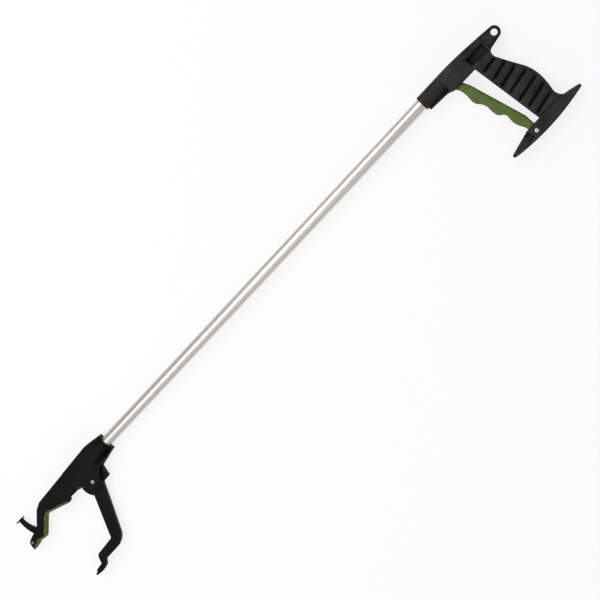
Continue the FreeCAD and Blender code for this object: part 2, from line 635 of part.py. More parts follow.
    # Grooves between the pads of the grip, each one a leaning bar cut into both sides
    rise = sine(size.groove_slope) / cosine(size.groove_slope)
    groove_pitch = (size.grip_drop - size.groove_last_rise - size.groove_first_drop) / (size.groove_count - 1)
    for turn in range(int(number(size.groove_count))):
        drop = size.groove_first_drop + groove_pitch * turn
        front = grip_lean * (drop - size.box_drop) + size.box_back + size.groove_margin
        reach = palm_side(drop) - size.groove_margin / 2
        where = sketch(made, "Groove%dSketch" % turn, level=half - size.groove_depth)
        outline(where, [
            (-front, drop), (-reach, drop - rise * (reach - front)),
            (-reach, drop - rise * (reach - front) + size.groove_width), (-front, drop + size.groove_width),
        ])
        cut = feature(made, "Pocket", "Groove%d" % turn, where, half, symmetric=False, backwards=True)
        both_sides(made, "Groove%dPair" % turn, cut)
    # Screw from the underside through the barrel
    under_hole(made, "ScrewHole", -size.screw_inset, size.screw_diameter / 2 + size.seat_gap, tube_bore)
    under_hole(made, "ScrewSeat", -size.screw_inset, size.screw_head_diameter / 2 + size.seat_gap,
               size.screw_seat)
    return made


def make_trigger():
    """Green moulding with four finger hollows, a tongue in the rear fork and a foot on its pin."""
    made = body("trigger")
    foot_drop = size.grip_drop + size.trigger_foot_fall
    low_drop = size.grip_drop - size.trigger_low_rise
    fall = foot_drop - size.trigger_top_drop
    # Where the hollows and crests end, as shares of the finger side, and each one's height as a share of
    # the wave, below zero for a hollow
    wave_ends = (0, 0.175, 0.348, 0.464, 0.622, 0.759, 0.912, 1)
    wave_heights = (-0.8, 1, -0.35, 1, -0.9, 0.7, -0.2)
    slope = (size.trigger_foot_back - size.trigger_front_back) / fall

    def finger_side(drop, out):
        """Place on the finger side at that drop, a distance out from its straight line."""
        return -size.trigger_front_back - slope * (drop - size.trigger_top_drop) + out, drop

    waves = [finger_side(size.trigger_top_drop, 0)]
    for start, end, height in zip(wave_ends, wave_ends[1:], wave_heights):
        middle = size.trigger_top_drop + fall * ((start + end) / 2)
        waves.append(finger_side(middle, size.finger_wave * height)
                     + finger_side(size.trigger_top_drop + fall * end, 0))
    eye = size.trigger_eye
    foot = size.trigger_foot_radius
    link_x, link_y = -trigger_link_back, trigger_link_drop
    pivot_x, pivot_y = -size.trigger_pivot_back, trigger_pivot_drop
    neck_y = link_y + size.eye_neck
    tongue_y = size.tongue_drop + size.overlap * 2
    blade = pad(made, "Blade", [
        (eye + link_x, neck_y), (-size.trigger_front_back, tongue_y),
    ] + waves + [
        (-size.trigger_foot_back, foot_drop + size.overlap * 2),
        (foot + pivot_x, pivot_y),
        (pivot_x, foot + pivot_y, -foot + pivot_x, pivot_y),
        (-size.trigger_back_low, low_drop + size.trigger_low_length),
        (-size.trigger_back_low, low_drop),
        (-size.trigger_back_bend, size.trigger_bend_drop),
        (-size.trigger_back_top, tongue_y),
        (-eye + link_x, neck_y),
    ], size.trigger_depth)
    rounded(made, blade, "BladeRound", size.trigger_round, on_face(size.trigger_depth / 2))
    # The narrow tongue inside the fork, with an eye for the cross pin
    for side in ("Upper", "Lower"):
        where = sketch(made, side + "TongueSketch", level=tongue if side == "Upper" else -tongue)
        outline(where, rectangle(-size.box_back, -size.box_drop, -size.keel_front, size.tongue_drop))
        feature(made, "Pocket", side + "Tongue", where, half, symmetric=False, backwards=side == "Upper")
    pad(made, "Eye", [
        (eye + link_x, link_y), (eye + link_x, neck_y + size.overlap),
        (-eye + link_x, neck_y + size.overlap), (-eye + link_x, link_y),
        (link_x, -eye + link_y, eye + link_x, link_y),
    ], size.jaw_depth)
    bore(made, "LinkHole", link_x, link_y, link_radius + size.seat_gap, size.body_depth)
    bore(made, "PivotHole", pivot_x, pivot_y,
         size.trigger_pin_diameter / 2 + size.running_gap, size.body_depth)
    return made


def make_jaw_head():
    """Black moulding: tube socket, two cheeks around the moving jaw, fixed jaw and horn."""
    made = body("jaw_head", on_head=True)
    rivet_x, rivet_y = size.rivet_ahead, size.rivet_drop
    round_x = size.cheek_radius * cosine(45)
    cheeks = pad(made, "Cheeks", [
        (0, -size.mouth_rise), (size.brow_ahead, -size.brow_rise),
        (size.cheek_ahead, -size.cheek_rise), (size.cheek_front, size.jaw_back_low_drop),
        (rivet_x + size.cheek_radius, rivet_y),
        (rivet_x + round_x, rivet_y + round_x, rivet_x, rivet_y + size.cheek_radius),
        (rivet_x - round_x, rivet_y + round_x),
        (size.chin_ahead, size.chin_drop), (0, size.mouth_drop),
    ], size.body_depth)
    rounded(made, cheeks, "CheekRound", size.cheek_round, on_face(half))
    # Fixed jaw
    pad(made, "FixedJaw", [
        (size.brow_ahead, size.jaw_sink - size.brow_rise), (size.cheek_ahead, -size.cheek_rise),
        (size.jaw_back_ahead, -size.jaw_back_rise), (size.jaw_bend_ahead, -size.jaw_bend_rise),
        (size.jaw_back_low_ahead, size.jaw_back_low_drop),
        (size.tip_back_ahead, size.tip_back_drop),
        (size.tip_back_ahead + size.tip_bevel_ahead, size.tip_back_drop + size.tip_bevel_drop),
        (size.tip_ahead, size.tip_drop),
    ] + liner_seat()[::-1] + [
        (size.cheek_front - size.overlap * 2, size.jaw_root_drop), (size.brow_ahead, size.mouth_drop),
    ], size.jaw_depth)
    # Horn with its cross bar
    bar_left = size.horn_ahead - size.horn_bar_length / 2
    bar_right = size.horn_ahead + size.horn_bar_length / 2
    pad(made, "HornBar", rectangle(bar_left, -size.horn_rise, bar_right,
                                   size.horn_bar_thickness - size.horn_rise), size.jaw_depth)
    stem_left = size.horn_ahead - size.horn_stem / 2 - size.horn_stem_back
    stem_right = stem_left + size.horn_stem
    stem_top = size.horn_bar_thickness / 2 - size.horn_rise
    foot = size.jaw_back_low_drop + size.horn_foot_sink
    pad(made, "HornStem", [
        (stem_left, stem_top),
        (stem_left - size.horn_left_bend, -size.horn_left_rise, size.horn_foot_left, foot),
        (size.horn_foot_right, foot),
        (stem_right + size.horn_right_bend, -size.horn_right_rise, stem_right, stem_top),
    ], size.horn_depth)
    # Socket for the tube and the cavity for fork, crank and hub
    turned(made, "Groove", "TubeSocket",
           rectangle(-size.overlap, 0, size.head_socket, tube_radius + size.seat_gap))
    clear = size.hub_radius + size.side_gap
    front = rivet_x + clear
    bevel = size.cavity_bevel
    pocket(made, "Cavity", [
        (size.head_socket, -size.cavity_rise), (front - bevel, -size.cavity_rise),
        (front, bevel - size.cavity_rise),
        (front, rivet_y + clear), (size.cavity_back - bevel * 2, rivet_y + clear),
        (size.cavity_back - bevel * 2, size.chin_drop), (size.cavity_back, size.cavity_back_drop + bevel),
        (size.cavity_back - bevel, size.cavity_back_drop), (size.head_socket, size.cavity_back_drop),
    ], size.body_depth - size.cheek_thickness * 2)
    bore(made, "RivetHole", rivet_x, rivet_y, size.rivet_diameter / 2 + size.seat_gap, size.body_depth)
    under_hole(made, "WasherSeat", rivet_x, size.rivet_washer_diameter / 2 + size.face_gap,
               half - size.rivet_head_height - size.rivet_washer_thickness, rivet_y)
    bore(made, "MagnetHole", size.magnet_ahead, size.magnet_drop, size.magnet_diameter / 2 + size.seat_gap,
         size.body_depth)
    under_hole(made, "ScrewHole", size.screw_inset, size.screw_diameter / 2 + size.seat_gap, tube_bore)
    under_hole(made, "ScrewSeat", size.screw_inset, size.screw_head_diameter / 2 + size.seat_gap,
               size.screw_seat)
    return made


def parallel(path, distance):
    """The same run of straight edges, moved sideways by that distance, with mitred corners."""
    spots = [point(x, y) for x, y in path]
    normals = [Vector(before.y - after.y, after.x - before.x, 0).normalize()
               for before, after in zip(spots, spots[1:])]
    moved = []
    for spot, one, other in zip(spots, normals[:1] + normals, normals + normals[-1:]):
        middle = one + other
        moved.append(spot + middle * (2 * distance / middle.dot(middle)))
    return [(spot.x, spot.y) for spot in moved]


def liner_seat():
    """Lower edge of the fixed jaw, on which the liner lies, from the cheeks to the tip."""
    return [
        (size.liner_root_ahead, size.liner_root_drop),
        (size.liner_low_ahead, size.liner_low_drop),
        (size.liner_bend_ahead, size.liner_bend_drop),
        (size.liner_foot_ahead, size.liner_foot_drop),
        (size.liner_flat_ahead, size.liner_flat_drop),
        (size.liner_crest_ahead, size.liner_crest_drop),
        (size.liner_tip_ahead, size.liner_tip_drop),
    ]


def make_liner():
    """Green rubber strip bonded along the inner edge of the fixed jaw."""
    made = body("fixed_jaw_liner", on_head=True)
    seat = liner_seat() + [(size.tip_ahead, size.tip_drop)]
    face = parallel(seat, number(size.liner_thickness))
    pad(made, "Strip", seat + face[::-1], size.jaw_depth)
    return made


def make_moving_jaw():
    """Black moving jaw: crank, hub with two bosses, heel, arm, fore-arm and claw."""
    made = body("moving_jaw", on_head=True)
    rivet_x, rivet_y = size.rivet_ahead, size.rivet_drop
    eye = size.crank_eye
    pin_x, pin_y = crank_link_ahead, crank_link_drop
    along_x, along_y = sine(size.crank_lean), -cosine(size.crank_lean)
    neck = size.fork_height * size.crank_neck

    def on_hub(angle):
        return rivet_x + size.hub_radius * cosine(angle), rivet_y + size.hub_radius * sine(angle)

    jaw = pad(made, "Jaw", [
        on_hub(-12),
        on_hub(14) + on_hub(40),
        (size.elbow_start_ahead, size.elbow_start_drop),
        (size.elbow_round_ahead, size.elbow_round_drop, size.elbow_end_ahead, size.elbow_end_drop),
        (size.palm_ahead, size.palm_drop),
        (size.palm_foot_ahead, size.palm_foot_drop),
        (size.palm_end_ahead, size.palm_end_drop),
        (size.claw_inner_ahead, size.claw_inner_drop),
        (size.claw_ahead, size.claw_drop),
        (size.claw_outer_ahead, size.claw_outer_drop, size.claw_root_ahead, size.claw_root_drop),
        (size.wrist_ahead, size.wrist_drop),
        (size.forearm_ahead, size.forearm_drop),
        (size.elbow_ahead + size.elbow_outer_run, size.elbow_drop + size.elbow_outer_fall,
         size.elbow_ahead, size.elbow_drop),
        (size.arm_top_ahead, size.arm_top_drop),
        (size.heel_ahead, size.heel_drop),
        (size.heel_low_ahead, size.heel_low_drop),
        (size.heel_top_ahead, size.heel_top_drop),
        (rivet_x - size.hub_boss_radius, rivet_y - size.hub_boss_radius),
        (pin_x + eye * along_y - neck * along_x, pin_y - eye * along_x - neck * along_y),
        (pin_x + eye * along_y, pin_y - eye * along_x),
        (pin_x + eye * along_x, pin_y + eye * along_y, pin_x - eye * along_y, pin_y + eye * along_x),
        (size.crank_root_ahead, size.crank_root_drop),
    ], size.jaw_depth)
    rounded(made, jaw, "JawRound", size.jaw_round, on_face(tongue))
    where = sketch(made, "BossSketch")
    circle(where, rivet_x, rivet_y, size.hub_boss_radius)
    feature(made, "Pad", "Boss", where, hub_length)
    bore(made, "HubBore", rivet_x, rivet_y, jaw_bush_radius + size.seat_gap, size.body_depth)
    bore(made, "CrankHole", pin_x, pin_y, link_radius + size.seat_gap, size.body_depth)
    return made


def make_tube():
    """Aluminium tube from the handle's socket to the head's, with a screw hole near each end."""
    made = body("main_tube")
    front = size.tube_exposed + size.head_socket
    turned(made, "Revolution", "Tube", rectangle(-size.handle_socket, tube_bore, front, tube_radius))
    hole = size.screw_diameter / 2 + size.seat_gap
    under_hole(made, "RearScrewHole", -size.screw_inset, hole, 0)
    under_hole(made, "FrontScrewHole", size.tube_exposed + size.screw_inset, hole, 0)
    return made


def make_bush(label, place, length, facing, screw):
    """Guide bush in the tube's end: its flange lies against the end and faces that way along X."""
    made = body(label, ahead=place)
    inner = rod_radius + size.running_gap
    outer = tube_bore - size.seat_gap
    flange = tube_radius - size.seat_gap
    turned(made, "Revolution", "Bush", [
        (0, inner), (facing * size.bush_flange, inner), (facing * size.bush_flange, flange),
        (0, flange), (0, outer), (-facing * length, outer), (-facing * length, inner),
    ])
    under_hole(made, "ScrewHole", screw, size.screw_diameter / 2 + size.seat_gap,
               size.screw_tip - size.face_gap)
    return made


def make_fork(label, place, turned_by, on_head):
    """Fork end of the pull rod: two slotted arms, a web and a round boss for the rod."""
    made = body(label, ahead=place, turned=turned_by, on_head=on_head)
    pad(made, "Arms", rectangle(-size.fork_nose, -size.fork_height / 2,
                                size.fork_throat + size.fork_web, size.fork_height / 2), fork_half * 2)
    pocket(made, "Throat", rectangle(-size.fork_nose - size.overlap, -size.fork_height,
                                     size.fork_throat, size.fork_height), (tongue + size.face_gap) * 2)
    reach = size.fork_throat + size.fork_web + size.fork_boss
    turned(made, "Revolution", "Boss",
           rectangle(size.fork_throat + size.overlap, 0, reach, size.fork_boss_diameter / 2))
    turned(made, "Groove", "RodHole",
           rectangle(size.fork_throat, 0, reach + size.overlap, rod_radius + size.seat_gap))
    side = link_radius + size.fork_slot_play
    end = size.fork_slot_travel / 2
    pocket(made, "Slot", [
        (side, -end), (side, end), (0, end + side, -side, end), (-side, -end), (0, -end - side, side, -end),
    ], fork_half * 2)
    return made


def make_nuts():
    """The two lock nuts on the rod, one behind each fork's boss."""
    made = body("rod_lock_nuts")
    reach = size.fork_throat + size.fork_web + size.fork_boss
    corner = size.nut_flats / 2 / cosine(30)
    starts = (reach - trigger_link_back, size.tube_exposed + crank_link_ahead - reach - size.nut_height)
    for name, start in zip(("Rear", "Front"), starts):
        where = sketch(made, name + "Sketch", "YZ_Plane", level=start)
        outline(where, [(corner * cosine(60 * turn), corner * sine(60 * turn)) for turn in range(6)])
        circle(where, 0, 0, rod_radius + size.seat_gap)
        made.AllowCompound = True
        feature(made, "Pad", name + "Nut", where, size.nut_height, symmetric=False)
    return made


def make_rod():
    """Steel pull rod between the two forks."""
    start = size.fork_throat + size.face_gap - trigger_link_back
    end = size.tube_exposed + crank_link_ahead - size.fork_throat - size.face_gap
    made = body("pull_rod")
    bevel = size.rod_bevel
    tip = rod_radius - bevel
    turned(made, "Revolution", "Rod", [
        (start, 0), (end, 0), (end, tip),
        (end - bevel, rod_radius), (start + bevel, rod_radius), (start, tip),
    ])
    return made


def make_ring(label, start, length, inner, outer):
    """A plain ring on the rod."""
    made = body(label)
    turned(made, "Revolution", "Ring", rectangle(start, inner, start + length, outer))
    return made


def make_pin(label, x, y, radius, top, bottom, head_radius, head_height, on_head=False, closed=None):
    """A pin along Z: its domed head sits on the level top and its plain end at the level -bottom, where
    closed gives the radius and height of a second head that was pressed on."""
    made = body(label, ahead=x, drop=y, on_head=on_head)
    if closed:
        wide, shut = closed
        end = [(0, -bottom), (wide, -bottom), (wide, shut - bottom), (radius, shut - bottom)]
    else:
        end = [(0, -bottom), (radius - size.pin_bevel, -bottom), (radius, size.pin_bevel - bottom)]
    turned(made, "Revolution", "Pin", end + [
        (radius, top), (head_radius, top), (head_radius, top + head_height * 0.3),
        (head_radius * 0.85, top + head_height * 0.8, head_radius * 0.5, top + head_height),
        (0, top + head_height),
    ], "XZ_Plane", "V_Axis")
    return made


def make_washer(label, x, y, inner, outer, bottom, thickness, on_head=False):
    """A flat ring about a pin along Z, on the underside."""
    made = body(label, ahead=x, drop=y, on_head=on_head)
    turned(made, "Revolution", "Washer", rectangle(inner, bottom, outer, bottom + thickness),
           "XZ_Plane", "V_Axis")
    return made


def make_tube_screws():
    """Two self-tapping screws with slotted pan heads, one up through each moulding into tube and bush."""
    made = body("tube_screws")
    made.AllowCompound = True
    radius = size.screw_diameter / 2
    head = size.screw_head_diameter / 2
    places = (("Rear", -size.screw_inset), ("Front", size.tube_exposed + size.screw_inset))
    for name, x in places:
        for part, level, wide, height in (
            ("Shank", size.screw_tip, radius, size.screw_seat - size.screw_tip),
            ("Head", size.screw_seat, head, size.screw_head_height),
        ):
            where = sketch(made, name + part + "Sketch", level=-level)
            circle(where, x, 0, wide)
            feature(made, "Pad", name + part, where, height, symmetric=False, backwards=True)
        where = sketch(made, name + "SlotSketch",
                       level=size.screw_slot_depth - size.screw_seat - size.screw_head_height)
        reach = head + size.overlap
        outline(where, rectangle(x - reach, -size.screw_slot_width / 2, x + reach, size.screw_slot_width / 2))
        feature(made, "Pocket", name + "Slot", where, size.screw_head_height, symmetric=False)
    return made


def biarc(start, start_way, end, end_way):
    """Two arcs from start to end that leave and arrive in those directions."""
    chord = end - start
    ways = start_way + end_way
    lean = 2 * (1 - start_way.dot(end_way))
    reach = (math.sqrt(chord.dot(ways) ** 2 + lean * chord.dot(chord)) - chord.dot(ways)) / lean
    corners = (start + start_way * reach, end - end_way * reach)
    middle = (corners[0] + corners[1]) / 2
    arcs = []
    for first, corner, last in ((start, corners[0], middle), (middle, corners[1], end)):
        weight = (last - first).Length / 2 / (corner - first).Length
        top = (first + last + corner * (2 * weight)) / (2 + 2 * weight)
        arcs.append(Part.Arc(first, top, last).toShape())
    return arcs


def make_spring():
    """Return spring around the rod: one wire in even turns, a tube along quarter-turn biarcs."""
    wire = number(size.spring_wire)
    radius = number(size.spring_radius)
    turns = number(size.spring_turns)
    start = number(spring_start) + wire / 2 + number(size.seat_gap)
    rise = number(size.spring_length) - wire - 2 * number(size.seat_gap)
    climb = rise / (2 * math.pi * turns)

    def place(angle):
        return Vector(start + climb * angle, radius * math.cos(angle), radius * math.sin(angle))

    def way(angle):
        return Vector(climb, -radius * math.sin(angle), radius * math.cos(angle)).normalize()

    edges = []
    quarter = math.pi / 2
    for step in range(int(turns * 4)):
        here, there = step * quarter, (step + 1) * quarter
        edges += biarc(place(here), way(here), place(there), way(there))
    path = Part.Wire(edges)
    section = Part.Wire([Part.Circle(place(0), way(0), wire / 2).toShape()])
    made = document.addObject("Part::Feature", "return_spring")
    made.Label = "return_spring"
    made.Shape = path.makePipeShell([section], True, False)
    made.Placement = FreeCAD.Placement(Vector(number(frame_x), number(frame_y), number(half)),
                                       FreeCAD.Rotation())
    print("spring: gap between turns %.2f mm" % (rise / turns - wire))
    pieces.append(made)
    return made


def make_magnet():
    """Round magnet pressed through the tip of the fixed jaw."""
    made = body("tip_magnet", on_head=True)
    where = sketch(made, "DiscSketch")
    circle(where, size.magnet_ahead, size.magnet_drop, size.magnet_diameter / 2)
    feature(made, "Pad", "Disc", where, size.jaw_depth)
    return made


def make_jaw_bush():
    """Bush in the hub of the moving jaw, turning on the rivet."""
    made = body("jaw_pivot_bush", ahead=size.rivet_ahead, drop=size.rivet_drop, on_head=True)
    where = sketch(made, "BushSketch")
    circle(where, 0, 0, jaw_bush_radius)
    circle(where, 0, 0, jaw_bush_bore)
    feature(made, "Pad", "Bush", where, hub_length)
    return made


make_handle()
make_trigger()
make_jaw_head()
make_liner()
make_magnet()
make_moving_jaw()
make_jaw_bush()
make_tube()
make_bush("rear_bush", -size.handle_socket, size.bush_length, -1, size.handle_socket - size.screw_inset)
make_bush("front_bush", size.tube_exposed + size.head_socket, size.front_bush_length, 1,
          size.screw_inset - size.head_socket)
make_tube_screws()
make_fork("rear_clevis", -trigger_link_back, 0, False)
make_fork("front_clevis", crank_link_ahead, 180, True)
make_nuts()
make_rod()
make_ring("spring_seat_washer", size.bush_length - size.handle_socket, size.seat_thickness,
          rod_radius + size.face_gap, tube_bore - size.seat_gap)
make_ring("spring_collar", spring_end, size.collar_length,
          rod_radius + size.seat_gap, size.collar_diameter / 2)
make_ring("collar_clip", spring_end + size.collar_length, size.clip_thickness, rod_radius + size.seat_gap,
          rod_radius + size.clip_width)
make_spring()
link_top = fork_half + size.seat_gap
link_bottom = link_top + size.clip_thickness + size.seat_gap * 2
for end, x, y, on_head in (("rear", -trigger_link_back, trigger_link_drop, False),
                           ("front", crank_link_ahead, crank_link_drop, True)):
    make_pin(end + "_link_pin", x, y, link_radius, link_top, link_bottom,
             size.link_pin_head / 2, size.link_pin_head_height, on_head=on_head)
    make_washer(end + "_pin_clip", x, y, link_radius + size.seat_gap, link_radius + size.link_clip_width,
                -link_top - size.clip_thickness, size.clip_thickness, on_head=on_head)
make_pin("trigger_pin", -size.trigger_pivot_back, trigger_pivot_drop, size.trigger_pin_diameter / 2,
         half, half - size.seat_gap * 2, size.trigger_pin_head / 2, size.trigger_pin_head_height)
make_washer("trigger_pin_clip", -size.trigger_pivot_back, trigger_pivot_drop,
            size.trigger_pin_diameter / 2 + size.seat_gap, trigger_clip_radius,
            size.clip_seat - half - size.clip_thickness, size.clip_thickness)
make_pin("jaw_rivet", size.rivet_ahead, size.rivet_drop, size.rivet_diameter / 2, half,
         half - size.seat_gap * 2, size.rivet_head_diameter / 2, size.rivet_head_height, on_head=True,
         closed=(size.rivet_head_diameter / 2, size.rivet_head_height - size.seat_gap * 2))
make_washer("jaw_rivet_washer", size.rivet_ahead, size.rivet_drop, size.rivet_diameter / 2 + size.seat_gap,
            size.rivet_washer_diameter / 2, size.rivet_head_height - half, size.rivet_washer_thickness,
            on_head=True)

document.recompute()
failed = [thing.Name for thing in document.Objects if set(thing.State) & {"Invalid", "Error"}]
if failed:
    raise RuntimeError("not built: " + ", ".join(failed))
for piece in pieces:
    if piece.Shape.isNull() or not piece.Shape.isValid() or not piece.Shape.Solids:
        raise RuntimeError("no valid shape: " + piece.Label)
os.makedirs("parts", exist_ok=True)
for piece in pieces:
    piece.Shape.exportStep(os.path.join("parts", piece.Label + ".step"))
    box = piece.Shape.BoundBox
    print("%-20s %2d solid(s) %10.1f mm3  x %.1f %.1f  y %.1f %.1f  z %.1f %.1f" % (
        piece.Label, len(piece.Shape.Solids), piece.Shape.Volume,
        box.XMin, box.XMax, box.YMin, box.YMax, box.ZMin, box.ZMax))
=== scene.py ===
"""Looks of a reacher grabber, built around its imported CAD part.

Each moulding is one closed surface: its outline is drawn in millimetres on the plane in which trigger and
jaw swing, and its two sides are a height that is worked out with numpy for every point of that plane.
Metal pieces keep their CAD shape and get the finish of the real ones.
"""

import math

import bpy
import numpy as np
from bpy.props import FloatProperty, FloatVectorProperty, PointerProperty
from mathutils import Matrix, Vector
from mathutils.geometry import delaunay_2d_cdt


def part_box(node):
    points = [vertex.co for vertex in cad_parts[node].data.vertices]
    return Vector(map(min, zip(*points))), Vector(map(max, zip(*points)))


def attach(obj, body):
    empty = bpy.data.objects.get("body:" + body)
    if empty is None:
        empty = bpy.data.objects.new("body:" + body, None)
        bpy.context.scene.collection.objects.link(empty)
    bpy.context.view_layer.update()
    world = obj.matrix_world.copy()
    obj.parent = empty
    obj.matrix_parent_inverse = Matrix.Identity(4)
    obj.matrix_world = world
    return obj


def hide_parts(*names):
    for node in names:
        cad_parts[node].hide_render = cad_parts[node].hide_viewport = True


bl_info = {
    "name": "Reacher grabber",
    "version": (1, 0, 0),
    "blender": (4, 5, 0),
    "location": "3D View > Sidebar > Reacher",
    "description": "Builds the mouldings, the finishes and the studio of a reacher grabber",
    "category": "Object",
}

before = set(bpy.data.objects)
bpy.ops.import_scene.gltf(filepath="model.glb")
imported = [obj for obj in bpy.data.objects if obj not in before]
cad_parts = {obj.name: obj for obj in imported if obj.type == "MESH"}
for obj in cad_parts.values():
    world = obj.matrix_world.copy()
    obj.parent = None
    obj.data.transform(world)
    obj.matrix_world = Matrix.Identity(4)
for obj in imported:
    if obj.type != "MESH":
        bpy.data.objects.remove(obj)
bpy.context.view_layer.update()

MM = 0.001
HANDLE_SOCKET = 22.0  # tube inside the handle
TUBE_EXPOSED = 597.0  # tube between the two mouldings

# Zero points in mm, on the tube's axis at the mouths of the handle and of the jaw head. From them X runs
# towards the jaws, and Y towards the end plate and the moving jaw.
tube_low, tube_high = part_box("main_tube")
AXIS = (tube_low + tube_high) / 2 / MM
HANDLE_ZERO = np.array([tube_low.x / MM + HANDLE_SOCKET, AXIS.y, AXIS.z])
HEAD_ZERO = HANDLE_ZERO + np.array([TUBE_EXPOSED, 0.0, 0.0])

# Half thicknesses in mm
BODY_HALF = 11.5  # handle and jaw head
JAW_HALF = 5.0  # both jaws
TRIGGER_HALF = 7.0
TONGUE_HALF = 5.0  # the trigger's end inside the handle
HORN_HALF = 3.5
HORN_BAR_HALF = 5.0
CAVITY_HALF = 8.5  # slot between the head's cheeks
BOSS_HALF = 8.2  # boss of the moving jaw in that slot
KEEL_HALF = 2.2  # rib under the barrel
KEEL_FOOT = 2.0  # how much thicker it is at its foot
MOUTH_HALF = 7.5  # least that is left of the head beside the tube

# Radii in mm
TUBE_RADIUS = 7.5
TUBE_PLAY = 0.05  # between the tube and both mouldings
BARREL_RADIUS = 9.5  # handle around the tube
SOCKET_RADIUS = 11.5  # jaw head around the tube at its mouth
HUB_RADIUS = 21.5
BOSS_RADIUS = 8.0
PIVOT_EYE = 4.4  # trigger around its pin
LINK_EYE = 4.2  # trigger around the cross pin
EAR_HOLE = 4.2
PIN_HOLE = 2.15  # trigger's pin in the handle
TRIGGER_HOLE = 2.18  # the same in the trigger
CROSS_PIN_HOLE = 1.55
RIVET_HOLE = 2.45
BUSH_HOLE = 3.53
MAGNET_HOLE = 2.05

# Seats in the side that faces the floor: radius, and how far their bottom is from the middle plane
SCREW_HOLE = (1.45, 6.0)
SCREW_SEAT = (3.05, 8.6)
CLIP_SEAT = (4.6, BODY_HALF - 1.1)
WASHER_SEAT = (4.8, 9.8)
THROUGH = 13.0  # reach of a cutter that goes through, from the middle plane

# Roundings in mm of the small edges
KEEL_EDGE = 1.0
FIXED_JAW_EDGE = 0.9
HORN_EDGE = 0.7
HORN_BAR_EDGE = 0.5
CAVITY_EDGE = 0.5
LINER_EDGE = 0.5

# Places in mm, from the zero point of the handle or of the head
BOX_FRONT = -33.5
BOX_BACK = -71.2
BOX_DROP = 17.7
EAR = (-116.8, 4.1)
TRIGGER_LINK = (-44.4, 1.48)
TRIGGER_PIVOT = (-69.7, 119.5)
HANDLE_SCREW = (-13, 0)
HEAD_SCREW = (13, 0)
RIVET = (50.3, 23.7)
CRANK_PIN = (58.545, 0.735)
MAGNET = (179.6, 20.9)
SOCKET_DEPTH = 18.5  # tube inside the head
TONGUE_END = 11  # down to here the trigger is as thin as its tongue
KEEL_FRONT = -2.6

# Square hollows of the handle, each as two opposite corners: around the fork, the same where the barrel
# runs out into the box, and the slot of the end plate that takes the trigger
FORK_CHAMBER = (BOX_BACK + 2.6, -5.7, -8.5), (-46, BOX_DROP + 1, 8.5)
FORK_PASSAGE = (-47, -5.7, -7.6), (BOX_FRONT - 1, BOX_DROP + 1, 7.6)
PLATE_SLOT = (-78, 110.6, -8.3), (-60, 125.3, 8.3)

# Forms in the sides: how deep each sinks, and how wide its slope is
EAR_SLOPE = 0.8
EAR_FALL = 4.5
POCKET_SLOPE = 0.7
WEB_SLOPE = 0.6
BEVEL_DEPTH, BEVEL_SLOPE = 0.9, 1.4
LINE_DEPTH, LINE_SLOPE = 0.9, 1.2
PANEL_DEPTH, PANEL_SLOPE = 0.5, 1.6
NOSE_DEPTH, NOSE_SLOPE = 0.7, 1.6
NOSE_FALL = 2.2
CHEEK_SLOPE = 4.6
CORE_DEPTH, CORE_SLOPE = 2.4, 2.8
TONGUE_SLOPE = 0.2
PALM_REACH = 6  # the palm side falls off over this much of the grip

# Where a height changes: the place where the change starts, and how wide it is, with its direction
PADS_TOP = (19, 4)
PADS_END = (109, -3)
PALM_SIDE = (-92, -18)
EAR_TAPER = (BOX_BACK + 1, -22)
NOSE_TAPER = (-50, -9)
KEEL_WIDENS = (11.2, 0.7)
BARREL_STARTS = (BOX_FRONT - 1.2, 2.4)
BARREL_BLENDS = (BOX_FRONT - 22, 24)
UPPER_SIDE = (2, -8)
SOCKET_ROUNDS = (20, -14)

# Outlines in mm. (x, y) ends a straight edge, (x1, y1, x, y) an arc through the first point.
HANDLE_OUTLINE = [
    (0, -9.5), (BOX_FRONT, -9.4), (-75, -7.6, -116.8, -3.6),
    (-124.6, 4.1, -116.8, 11.9), (-104, 14.4), (-99.6, 15.8, -97.4, 19.6), (-97.2, 23, -98.4, 26.4),
    (-102.8, 35.6, -110.9, 51.9), (-116.6, 66.6, -118, 80), (-117.2, 90.5, -115.5, 99.6),
    (-116.4, 107, -121.2, 112.9), (-129.8, 114.6),
    (-140.6, 117.3), (-141.3, 119, -140.6, 120.6), (-80, 127.7, -31, 124.5),
    (-28.8, 122.3, -31, 120.1), (-60, 112.6), (-81.9, 111.8), (BOX_BACK, BOX_DROP),
    (-39, BOX_DROP), (-37.2, 17.2), (-29.3, 14.2), (-2.5, 12.6), (-2.5, 9.5), (0, 9.5),
]
EAR_AREA = [(BOX_BACK, -14), (-132, -14), (-132, 13.3), (-102, 15.2), (-96, 14.4), (BOX_BACK, 14.4)]
EAR_WEB = [(-99.5, -3.6), (-116.8, -1.9), (-122.8, 4.1, -116.8, 10.1), (-100.5, 12.0)]
POCKET = [(BOX_BACK - 0.6, 2.7), (-97.2, 2.7), (-97.2, 12.3), (BOX_BACK - 0.6, 12.3)]
POCKET_BEVEL = [(BOX_BACK + 1.2, 1.0), (-98.8, 1.0), (-98.8, 13.4), (BOX_BACK + 1.2, 13.4)]
PLATE_LINE = [(-82.5, 109.6), (-119.6, 111.4), (-120.4, 112.7), (-82.5, 110.8)]
PLATE_PANEL = [(-84, 113.6), (-121, 115), (-136, 118.6), (-84, 124.6)]
PLATE_NOSE = [(-35.5, 121), (-61, 114.4), (-62, 122.6), (-36.5, 123.4)]

